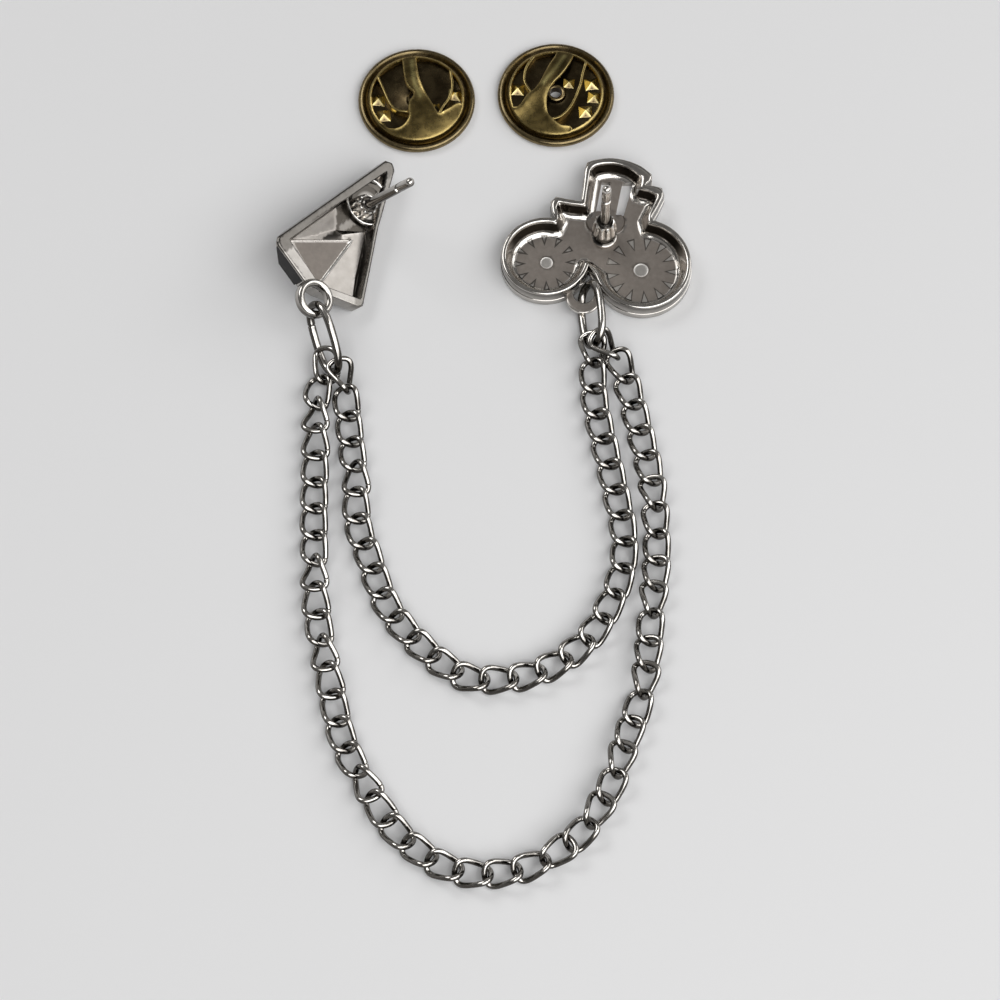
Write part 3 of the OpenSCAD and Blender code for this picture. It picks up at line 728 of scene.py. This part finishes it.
# ends, height and depth of the enamel's bed in the lower left side
STRIP = (np.array([-5.6, -9.05]), np.array([-8.7, -6.25]))
STRIP_Z, STRIP_D = -0.27, 0.22


def floor_height(p):
    """Height of the faceted floor of the left badge's hollow."""
    z = np.full(len(p), FLOOR_Z)
    for a, b, c in (FLOOR[list(t)] for t in FLOOR_FACETS):
        m = np.linalg.inv(np.column_stack([a[:2] - c[:2], b[:2] - c[:2]]))
        w = (p - c[:2]) @ m.T
        hit = (w[:, 0] > -0.01) & (w[:, 1] > -0.01) & (w.sum(1) < 1.01)
        z[hit] = (c[2] + w @ np.array([a[2] - c[2], b[2] - c[2]]))[hit]
    return z


def left_shell():
    """The badge's four-sided shell: rim, faceted hollow and the raised triangle in it."""
    length = np.linalg.norm(STRIP[1] - STRIP[0])
    along = (STRIP[1] - STRIP[0]) / length
    inward = np.array([along[1], -along[0]])

    def by_bead(p):
        """Whether a point lies along the plateau's right side, where the bead stands highest."""
        a, u = PLATEAU[1], unit(PLATEAU[2] - PLATEAU[1])
        return (np.abs((p - a) @ [-u[1], u[0]]) < 0.2) & ((p - a) @ u > -0.15)

    def top(p):
        do, di, dp = depth(p, SHELL_OUTER), depth(p, SHELL_INNER), depth(p, PLATEAU)
        rim = -rounded(do, 0.16) - rounded(-di, 0.1)
        t = np.clip(di / COVE_W, 0, 1)
        cove = 1 - np.sqrt(1 - (1 - t) ** 2)
        floor = floor_height(p)
        low = floor + (-COVE_DROP - floor) * cove
        raised = PLATEAU_Z + (-COVE_DROP - PLATEAU_Z) * cove
        low = np.where(dp > -0.12, raised, low + (raised - low) * (1 - step01(-dp, 0.12, 0.26)))
        bead = np.sqrt(np.clip(1 - (dp / BEAD_R) ** 2, 0, 1)) * (di > COVE_W)
        low += np.where(by_bead(p), BEAD_TALL, BEAD_H) * bead
        return np.where(di > 0, low, rim)

    def bottom(p):
        # the underside rises aslant to the left corner
        cut = -0.3 - 1.28 * (p[:, 0] + 8.85)
        return np.maximum(-SHELL_H + rounded(depth(p, SHELL_OUTER), 0.1), cut)

    def paint(p):
        inside, on_plateau = depth(p, SHELL_INNER), depth(p, PLATEAU)
        matte, shade = np.full(len(p), 0.35), np.zeros(len(p))
        # painted shade on the floor's facets
        for ground, dark, outline in FLOOR_POLISH_AND_SHADE:
            hit = (depth(p, outline) > 0) & (on_plateau < -0.1)
            matte[hit], shade[hit] = ground, dark
        # painted shade on the plateau, painted highlight along its bead
        raised = step01(on_plateau, 0.1, 0.22) * step01(inside, 0.08, 0.18)
        matte = matte * (1 - raised) + raised
        shade = shade * step01(-on_plateau, 0.1, 0.2) + 0.35 * raised
        bead = by_bead(p) & (np.abs(on_plateau) < BEAD_R) & (inside > 0.1)
        shade[bead], matte[bead] = -1.0, 0.4
        matte[inside < 0] = 0.1
        # painted shade on the rim, darkest along its upper left side
        side = np.where(p[:, 1] - p[:, 0] > 1.2, 0.82, np.where(p[:, 0] > 0, 0.72, 0.5))
        shade[inside < 0] = side[inside < 0]
        return matte, shade

    def solid(p):
        return (depth(p, SHELL_OUTER) > 0) & (away(p, LOOP_AT[:2]) > LOOP_HOLE_R)

    def under(p):
        """Leaves room for the enamel on the lower left side."""
        run, deep = (p - STRIP[0]) @ along, (p - STRIP[0]) @ inward
        ends = step01(run, -0.02, 0.12) * step01(length - run, -0.02, 0.12)
        return p + inward * (STRIP_D * ends * np.clip(1 - deep / 0.8, 0, 1))[:, None]

    loops = [spaced(outline, 0.3) for outline in (SHELL_OUTER, SHELL_INNER, PLATEAU)]
    loops.append(circle(LOOP_AT[:2], LOOP_HOLE_R, 60))
    loops += insets(SHELL_OUTER, (0.02, 0.07, 0.16))
    loops += insets(SHELL_INNER, (-0.1, -0.03, 0.03, 0.09, COVE_W))
    loops += insets(PLATEAU, (-0.26, -0.19, -0.13, -0.09, -0.05, 0.05, 0.09, 0.13, 0.22))
    corners = FLOOR[:, :2]

    def fold(a, b, n, shift=0.0):
        """Points along the fold between two corners of the floor."""
        return corners[a] + [shift, 0] + (corners[b] - corners[a]) * np.linspace(0.03, 0.97, n)[:, None]

    folds = {tuple(sorted(e)) for t in FLOOR_FACETS for e in zip(t, t[1:] + t[:1])}
    lines = [fold(a, b, 12) for a, b in folds]
    # a second line beside the hollow's deepest fold keeps it crisp
    lines += [fold(a, b, 20, -0.05) for a, b in ((5, 6), (6, 7))]
    # painted shade on the wall above and below the enamel's bed and at its foot
    return relief(loops, 0.22, solid, top, bottom, paint, (STRIP_Z, under), (0.5, 0.3, 0.5), lines)


def boss_disc():
    """The dished boss, cut off where the shell ends."""
    n = 96
    turns = np.arange(n) * 2 * math.pi / n
    reach = np.full(n, 3.0)
    for r in np.arange(BOSS_R, 1.2, -0.02):
        ring = BOSS_AT + r * np.stack([np.cos(turns), np.sin(turns)], 1)
        reach[depth(ring, SHELL_OUTER) < 0.12] = r
    profile = [row[:2] for row in BOSS]
    v, faces, paint = lathe(profile, n, lambda r, z, turn: np.minimum(r, reach - 0.3 * (BOSS_R - r)))
    paint[:, 1] = np.repeat([dark for r, z, dark in BOSS], [n if r > 0 else 1 for r, z, dark in BOSS])
    # painted shade on the half of the dish behind the post
    behind = (v[:, 1] - v[:, 0] > 0.2) & (np.hypot(v[:, 0], v[:, 1]) < 2.14)
    paint[behind, 1] = np.maximum(paint[behind, 1], 0.94)
    return moved((v, faces, paint), None, (*BOSS_AT, 0))


def chain_loop():
    """Cast ring at the lower corner, with round outer and inner sides."""
    half, r = (LOOP_T - LOOP_WALL) / 2, LOOP_WALL / 2
    rows = [(LOOP_HOLE_R + r * (1 + math.cos(t)), math.copysign(half, math.sin(t)) + r * math.sin(t))
            for t in np.radians(np.arange(9, 369, 20))]
    return moved(shaded_underneath(lathe(rows, 72, None, True), LEAN), None, LOOP_AT)


def left_badge():
    pin = moved(shaded_underneath(post(LEFT_COLLAR_TOP), LEAN, POST_R + 0.05), None, (0, 0, -RIM_UP))
    at = LEFT_FOOT + LEAN @ np.array([0, 0, RIM_UP])
    return [moved(part, LEAN, at) for part in (left_shell(), boss_disc(), chain_loop(), pin)]


# Jump rings and chains

RING_R, RING_WIRE_R = 1.8, 0.38
RING_SEAM = 250  # where the wire's ends meet, in degrees
RING_FULLNESS = 2.6  # 2 is a true oval, more is squarer


def jump_ring(mid, angles, straight):
    """Oval ring of wire, with the fine line where its ends meet."""
    near = RING_SEAM + np.array([-1.2, -0.5, 0, 0.5, 1.2])
    t = np.unique(np.concatenate([np.arange(0, 360, 2.5), near]))
    a = np.radians(t)
    c, s = np.cos(a), np.sin(a)
    path = np.stack([(RING_R + straight / 2) * np.sign(c) * np.abs(c) ** (2 / RING_FULLNESS),
                     RING_R * np.sign(s) * np.abs(s) ** (2 / RING_FULLNESS), 0 * a], 1)
    thin = RING_WIRE_R * (1 - 0.22 * np.exp(-((t - RING_SEAM) / 0.8) ** 2))
    return moved(tube(path, thin, np.array([0, 0, 1.0]), 18), turned(*angles), mid)


LINK_WIRE, LINK_W, LINK_PLAY, LINK_FLOAT = 0.44, 2.6, 0.18, 0.09
LINK_SHOWN = 0.53  # the wire is drawn thicker than in the loose solids
LINK_SQUARE, LINK_TWIST = 0.09, 0.54  # how far its oval bulges at the corners and twists
LINK_SEAM, SEAM_WIDTH, SEAM_CUT = 62, math.radians(1.0), 0.3
# a strand: count, route, roll rows, lift rows, first and last link (x, y, z, heading, climb, roll)
OUTER = (
    45,
    [[-16.65, 13.4], [-17.4, 10.2], [-17.4, 5.5], [-17.45, 0], [-17.35, -5.5], [-16.95, -12],
     [-15.6, -19], [-14.3, -24.5], [-12, -29.1], [-9.2, -33.3], [-5, -36.4], [-1, -37.1], [3.3, -36.1],
     [7.1, -33.5], [9.9, -29.1], [11.5, -24.4], [13.2, -19], [14.0, -12], [14.6, -6], [14.35, 0.5],
     [13.4, 5.7], [12.2, 11], [11.3, 13.9], [10.2, 15.6]],
    [[1, 0], [2, 0], [3, 36], [4, 22], [5, 5], [8, 0], [9, 33], [10, 17], [11, 2], [12, 33], [13, 17],
     [14, 2], [16, 0], [17, 33], [18, 18], [19, 3], [24, 0], [25, 28], [26, 12], [27, 30], [28, 14],
     [29, 30], [30, 14], [31, 0], [32, 30], [33, 15], [34, 2], [35, 28], [36, 12], [37, 0], [39, 22],
     [40, 6], [42, 0], [45, 20]],
    [[1, 0.1], [2, 0], [43, 0], [44, 0.18], [45, 0.9]],
    (-16.49, 13.38, 1.35, -85.7, -27.1, -1.6), (10.09, 15.12, 2.08, 137.1, 21.1, 32.8))
INNER = (
    30,
    [[-14.85, 12.2], [-14.4, 8], [-13.8, 3.2], [-13.45, 0.8], [-13.5, -1.2], [-13.15, -3.6],
     [-12.2, -6.3], [-10.4, -11.2], [-7.2, -15.2], [-3.2, -18.1], [0.6, -18.3], [4.5, -17.2],
     [8.4, -14.0], [10.9, -9.1], [11.6, -5], [11.1, -1], [10.0, 4.5], [8.95, 10], [8.8, 15.1]],
    [[1, 0], [4, 0], [5, 22], [6, 8], [7, 0], [30, 0]],
    [[1, 0.5], [2, 0.15], [3, 0], [28, 0], [29, 0.08], [30, 0.3]],
    (-14.93, 12.03, 1.89, -70.7, -20.1, -38.4), (8.86, 15.14, 1.26, 93.1, 9.1, 20.3))


def link_line(t, half):
    """Centre line of one link, an oval twisted so that its neighbours cross it."""
    b = (LINK_W - LINK_WIRE) / 2
    across = b * ((1 + LINK_SQUARE) * np.sin(t) + LINK_SQUARE * np.sin(3 * t))
    return np.stack([half * np.cos(t), across, -LINK_TWIST * b * np.sin(2 * t)], 1)


def link_axes(along, roll):
    """A link's three axes: along the chain, across it and up, rolled by some degrees."""
    d = unit(along)
    n = unit(np.cross([0, 0, 1], d))
    z = np.cross(d, n)
    c, s = math.cos(math.radians(roll)), math.sin(math.radians(roll))
    return np.array([d, n * c + z * s, z * c - n * s])


def strand(count, route, rolls, lifts, first, last, seed):
    """The links of one chain, each lying on the floor as its roll allows."""
    path = curve(route, 12)
    far = np.concatenate([[0], np.cumsum(np.linalg.norm(np.diff(path, axis=0), axis=1))])
    step = far[-1] / (count - 1)
    number = np.arange(1, count + 1)
    roll = np.interp(number, *np.array(rolls, float).T)
    lift = np.interp(number, *np.array(lifts, float).T)
    whole = np.radians(np.arange(0, 360, 3.0))
    q = link_line(whole, 1)
    rest = [max(-(q[:, 1] * math.sin(a) + q[:, 2] * math.cos(a))) for a in map(math.radians, roll)]
    at = (number - 1) * step
    mids = np.column_stack([np.interp(at, far, path[:, 0]), np.interp(at, far, path[:, 1]),
                            LINK_WIRE / 2 + LINK_FLOAT + np.array(rest) + lift])
    half = (step + LINK_WIRE + LINK_PLAY) / 2
    chance = np.random.default_rng(seed)
    parts = []
    for k in range(count):
        if k in (0, count - 1):
            *mid, yaw, climb, r = first if k == 0 else last
            yaw, climb = math.radians(yaw), math.radians(climb)
            level = math.cos(climb)
            along = np.array([math.cos(yaw) * level, math.sin(yaw) * level, math.sin(climb)])
        else:
            mid, along, r = mids[k], mids[k + 1] - mids[k - 1], roll[k]
        ax = link_axes(along, r)
        seam = math.radians(LINK_SEAM + chance.uniform(-6, 6))
        near = seam + np.radians([-3.2, -1.8, -0.9, 0, 0.9, 1.8, 3.2])
        t = np.sort(np.concatenate([whole[np.abs(whole - seam) > math.radians(4)][::2], near]))
        wire = LINK_SHOWN / 2 * (1.0 - SEAM_CUT * np.exp(-((t - seam) / SEAM_WIDTH) ** 2))
        parts.append(tube(mid + link_line(t, half) @ ax, wire, ax[2], 16))
    return parts


# Clutches

CUP_R, ROLL_R, CUP_FLOOR, HOLE_R = 5.75, 0.4, 0.4, 0.58
SPRING_Z, SPRING_R, STRIP_T, WINDOW_R = 0.44, 4.75, 0.26, 4.4
DOME_R, DOME_TOP, WING_TOP = 12.2, 1.45, 0.97
POINT_H, POINT_DENT = 0.44, 0.1
# windows: outlines of the dome's openings. wings: lines of the strips standing in them. Then the line
# of a painted highlight along the dome. points: the raised points on the cup's floor, x, y, half width,
# turn
LEFT_CLUTCH = {
    "name": "left", "at": (-8.2, 42.7, 0),
    "windows": [
        [[-1.5, 4.3], [-1.25, 2.2], [-0.95, 0.9], [-0.3, 0], [-0.7, -0.8], [-0.8, -1.6], [-0.75, -2.3],
         [-1.1, -3.0], [-1.8, -3.45], [-2.7, -3.4], [-3.6, -2.7], [-6, -2.5], [-6, 6], [-1.8, 6]],
        [[-0.05, 4.4], [0.2, 2.4], [0.6, 1.0], [1.0, 0], [1.6, -1.0], [2.15, -1.9], [2.6, -1.7],
         [3.25, -1.25], [4.2, -0.6], [6, -0.4], [6, 6], [0, 6]]],
    "wings": [[[-3.85, 2.25], [-3.3, 0.9], [-2.6, -0.8], [-1.9, -1.55], [-0.75, -1.75]],
              [[3.3, 3.0], [3.5, 1.2], [3.2, -0.2], [2.6, -1.2], [2.2, -2.05]]],
    "highlight_line": [(-0.5, 4.0), (-0.42, 3.0), (-0.25, 1.6), (0, 0.6), (0.35, -0.3)],
    "points": [
        (-3.75, 0.0, 0.95, 40), (-3.2, -1.75, 0.95, 50), (3.75, 0.6, 0.95, 38), (1.9, -0.75, 0.6, 48)]}
RIGHT_CLUTCH = {
    "name": "right", "at": (5.5, 43.3, 0),
    "windows": [
        [[0.0, 4.35], [-0.75, 2.75], [-1.45, 1.15], [-2.0, 0.2], [-2.8, -0.45], [-3.15, -0.9],
         [-3.6, -1.5], [-4.2, -1.6], [-6, -1.2], [-6, 6], [0, 6]],
        [[1.75, 4.0], [1.15, 2.5], [0.45, 1.4], [-0.35, 0.4], [-0.85, -0.8], [-0.85, -2.3],
         [-0.5, -2.95], [0.45, -3.7], [1.6, -4.0], [1.8, -6], [6, -6], [6, 6], [2, 6]]],
    "wings": [[[-2.1, 3.95], [-2.9, 2.6], [-3.1, 1.2], [-2.6, 0.1], [-2.1, -0.5]],
              [[3.0, 3.3], [2.7, 2.2], [2.3, 0.4], [1.5, -1.6], [0.5, -2.8], [-0.5, -3.2]]],
    "highlight_line": [(0.85, 4.0), (0.3, 2.9), (-0.2, 2.1), (-0.8, 1.3), (-1.3, 0.6)],
    "points": [
        (-3.75, 0.6, 0.95, 42), (3.5, 1.2, 0.95, 52), (3.75, -0.3, 0.9, 38), (2.9, -1.9, 0.95, 48),
        (1.3, 1.3, 0.8, 40)]}


def raised_point(x, y, w, turn):
    """Four-sided point on the cup's floor, with a painted highlight. Its front facet has a dent in the
    middle with painted shade.
    """
    base = np.array([[w, 0], [0, w], [-w, 0], [0, -w]]) @ turned(0, 0, turn)[:2, :2].T + [x, y]
    v = np.column_stack([base, np.full(4, CUP_FLOOR - 0.02)])
    v = np.vstack([v, [x, y, CUP_FLOOR + POINT_H]])
    i = int(np.argmin(base[:, 1] + np.roll(base, -1, 0)[:, 1]))
    j = (i + 1) % 4
    v = np.vstack([v, (v[i] + v[j] + v[4]) / 3 - [0, 0, POINT_DENT]])
    faces = [(k, (k + 1) % 4, 4) for k in range(4) if k != i]
    faces += [(i, j, 5), (j, 4, 5), (4, i, 5), (3, 2, 1, 0)]
    # painted highlight on the point, painted shade at the dent
    return v, faces, np.array([[0.2, -0.6]] * 5 + [[0.2, 1.0]])


def clutch_cup(clutch):
    """Floor with the drawn pin hole and the raised points, and the rolled rim."""
    mid = CUP_R - ROLL_R
    rows = [(HOLE_R, 0.04), (HOLE_R + 0.08, 0.0), (mid - 0.1, 0.0)]
    rows += [(mid + ROLL_R * math.sin(t), ROLL_R - ROLL_R * math.cos(t))
             for t in np.radians(np.arange(0, 195, 13))]
    rows += [(mid - 0.2, 0.62), (mid - 0.34, 0.45), (mid - 0.5, CUP_FLOOR), (1.3, CUP_FLOOR), (1.02, 0.5),
             (0.92, 0.7), (0.9, 0.93), (0.82, 1.0), (0.68, 1.0), (HOLE_R, 0.94)]
    v, faces, paint = lathe(rows, 96, None, True)
    far = np.hypot(v[:, 0], v[:, 1])
    on_floor = (far < mid - 0.25) & (far > 1.25) & (v[:, 2] > 0.1)
    # painted shade on the cup's floor and in the pin hole
    paint[:, 1] = 0.45 * on_floor + 0.95 * (far < HOLE_R + 0.05)
    parts = [(v, faces, paint)] + [raised_point(*row) for row in clutch["points"]]
    return [moved(part, None, clutch["at"]) for part in parts]


def clutch_wing(points):
    """Strip of metal standing on edge along the points."""
    line = curve(points, 6)
    u = unit(np.gradient(line, axis=0))
    n = np.stack([-u[:, 1], u[:, 0]], 1) * STRIP_T / 2
    outlines = [np.vstack([line + n * k, (line - n * k)[::-1]]) for k in (1, 0.45, 0.8)]
    return relief(outlines, 0.3, lambda p: depth(p, outlines[0]) > 0,
                  lambda p: WING_TOP - rounded(depth(p, outlines[0]), 0.1), lambda p: 0 * p[:, 0])


def clutch_spring(clutch):
    """Domed plate with two windows and a wing standing in each."""
    windows = [curve(w, 6, True) for w in clutch["windows"]]
    highlight_line = curve(clutch["highlight_line"], 8)

    def far(p):
        return away(p, (0, 0))

    def hole_edge(p):
        """Distance outside the nearest window."""
        return np.min([np.maximum(-depth(p, w), far(p) - WINDOW_R) for w in windows], axis=0)

    def solid(p):
        return (far(p) < SPRING_R) & (hole_edge(p) > 0)

    def dome(p, r):
        return np.sqrt(r**2 - far(p) ** 2) - DOME_R + DOME_TOP

    def top(p):
        edge = hole_edge(p)
        lip = 0.05 * np.exp(-((edge - 0.14) / 0.1) ** 2)
        return dome(p, DOME_R) + lip - rounded(edge, 0.12) - rounded(SPRING_R - far(p), 0.12)

    def bottom(p):
        return np.where(far(p) > SPRING_R - STRIP_T, 0.0, dome(p, DOME_R - STRIP_T))

    def paint(p):
        # a painted highlight along that line
        near = np.min(np.hypot(*(p[:, None] - highlight_line).T), axis=0)
        return 0 * near, -0.6 * (1 - step01(near, 0.05, 0.32))

    loops = [circle((0, 0), r, 90) for r in (SPRING_R, 4.73, 4.68, 4.6, 4.48, WINDOW_R)]
    for w in windows:
        loops += [w] + insets(w, (-0.02, -0.07, -0.14, -0.26), 0.2)
    parts = [relief(loops, 0.22, solid, top, bottom, paint)] + [clutch_wing(w) for w in clutch["wings"]]
    return [moved(part, None, (*clutch["at"][:2], SPRING_Z)) for part in parts]


# Pieces

# painted shade on the wires' sides and undersides
WIRE_UNDERSIDE_SHADE = (0.55, 0.98, 0.96)
LEFT_SHARP, LINK_SHARP = 28, 60
RIGHT_RING = jump_ring((8.75, 18.45, 2.02), (62, 0, -84.3), 2.6)
LEFT_RING = jump_ring((-16.69, 15.49, 2.91), (66.8, 28.2, -72.0), 3.0)

piece("right_badge_cast", right_badge(), CAST, "right_badge")
piece("left_badge_cast", left_badge(), CAST, "left_badge", LEFT_SHARP)
for node, suffix, parts, sharp in [
        ("jump_ring_right", "_wire", [RIGHT_RING], SHARP),
        ("jump_ring_left", "_wire", [LEFT_RING], SHARP),
        ("chain_outer", "_links", strand(*OUTER, 3), LINK_SHARP),
        ("chain_inner", "_links", strand(*INNER, 8), LINK_SHARP)]:
    piece(node + suffix, parts, WIRE, node, sharp, WIRE_UNDERSIDE_SHADE)
for clutch in (LEFT_CLUTCH, RIGHT_CLUTCH):
    cup, spring = f"clutch_{clutch['name']}_cup", f"clutch_{clutch['name']}_spring"
    piece(cup + "_brass", clutch_cup(clutch), CUP, cup)
    piece(spring + "_brass", clutch_spring(clutch), SPRING, spring)

for name in ("left_enamel", "right_enamel"):
    node = frame["nodes"][name]
    node.data.materials.clear()
    node.data.materials.append(ENAMEL)


# Floor, light and camera

PALE, PALER = (0.80, 0.80, 0.805), (0.83, 0.83, 0.835)


def stage_floor():
    """Pale floor, 6 m across."""
    mesh = bpy.data.meshes.new("floor")
    s = 3.0
    mesh.from_pydata([(-s, -s, 0), (s, -s, 0), (s, s, 0), (-s, s, 0)], [], [(0, 1, 2, 3)])
    n = Nodes("pale_floor")
    n.shade(Base_Color=n.blend(n.noise(0.01), PALE, PALER), Roughness=0.6)
    mesh.materials.append(n.material)
    placed("floor", mesh)


def light(name, at_mm, size_mm, power):
    """Soft light aimed at the middle of the lay-out."""
    data = bpy.data.lights.new(name, "AREA")
    data.shape = "RECTANGLE"
    data.size, data.size_y = np.array(size_mm) * MM
    data.energy = power
    made, at = placed(name, data), Vector(at_mm) * MM
    made.location = at
    made.rotation_euler = (-at).to_track_quat("-Z", "Y").to_euler()


# brightness of the room from the horizon to straight above
ROOM = [(0.0, 0.30), (0.44, 0.12), (0.5, 0.03), (0.62, 0.06), (0.73, 0.27), (0.85, 0.16), (1.0, 0.11)]
ROOM_TINT = np.array([1, 0.985, 0.965])


def room():
    """Plain room: light walls low down, a dark band over them, then a light one and a dim ceiling."""
    world = bpy.data.worlds.new("studio")
    world.use_nodes = True
    tree = world.node_tree
    coords = tree.nodes.new("ShaderNodeTexCoord")
    split = tree.nodes.new("ShaderNodeSeparateXYZ")
    ramp = tree.nodes.new("ShaderNodeValToRGB")
    tree.links.new(coords.outputs["Generated"], split.inputs[0])
    tree.links.new(split.outputs["Z"], ramp.inputs["Fac"])
    tree.links.new(ramp.outputs["Color"], tree.nodes["Background"].inputs["Color"])
    stops = ramp.color_ramp.elements
    for at, level in ROOM[1:-1]:
        stops.new(at)
    for stop, (at, level) in zip(stops, ROOM):
        stop.position = at
        stop.color = (*(level * ROOM_TINT), 1)
    bpy.context.scene.world = world


stage_floor()
light("front", (260, -330, 520), (900, 560), 4.1)
light("window", (-330, 280, 455), (400, 260), 0.8)
light("right", (600, 160, 330), (500, 300), 0.9)
room()
bpy.context.scene.view_settings.view_transform = "Standard"

CAMERA_AT, CAMERA_TILT, CAMERA_ANGLE = (1.425, -148.867, 330.14), 23.5, 14.888

camera = bpy.data.cameras.new("camera")
camera.sensor_fit = "HORIZONTAL"
camera.angle = math.radians(CAMERA_ANGLE)
camera.clip_start, camera.clip_end = 0.01, 20
eye = placed("camera", camera)
eye.location = Vector(CAMERA_AT) * MM
eye.rotation_euler = (math.radians(CAMERA_TILT), 0, 0)
bpy.context.scene.camera = eye
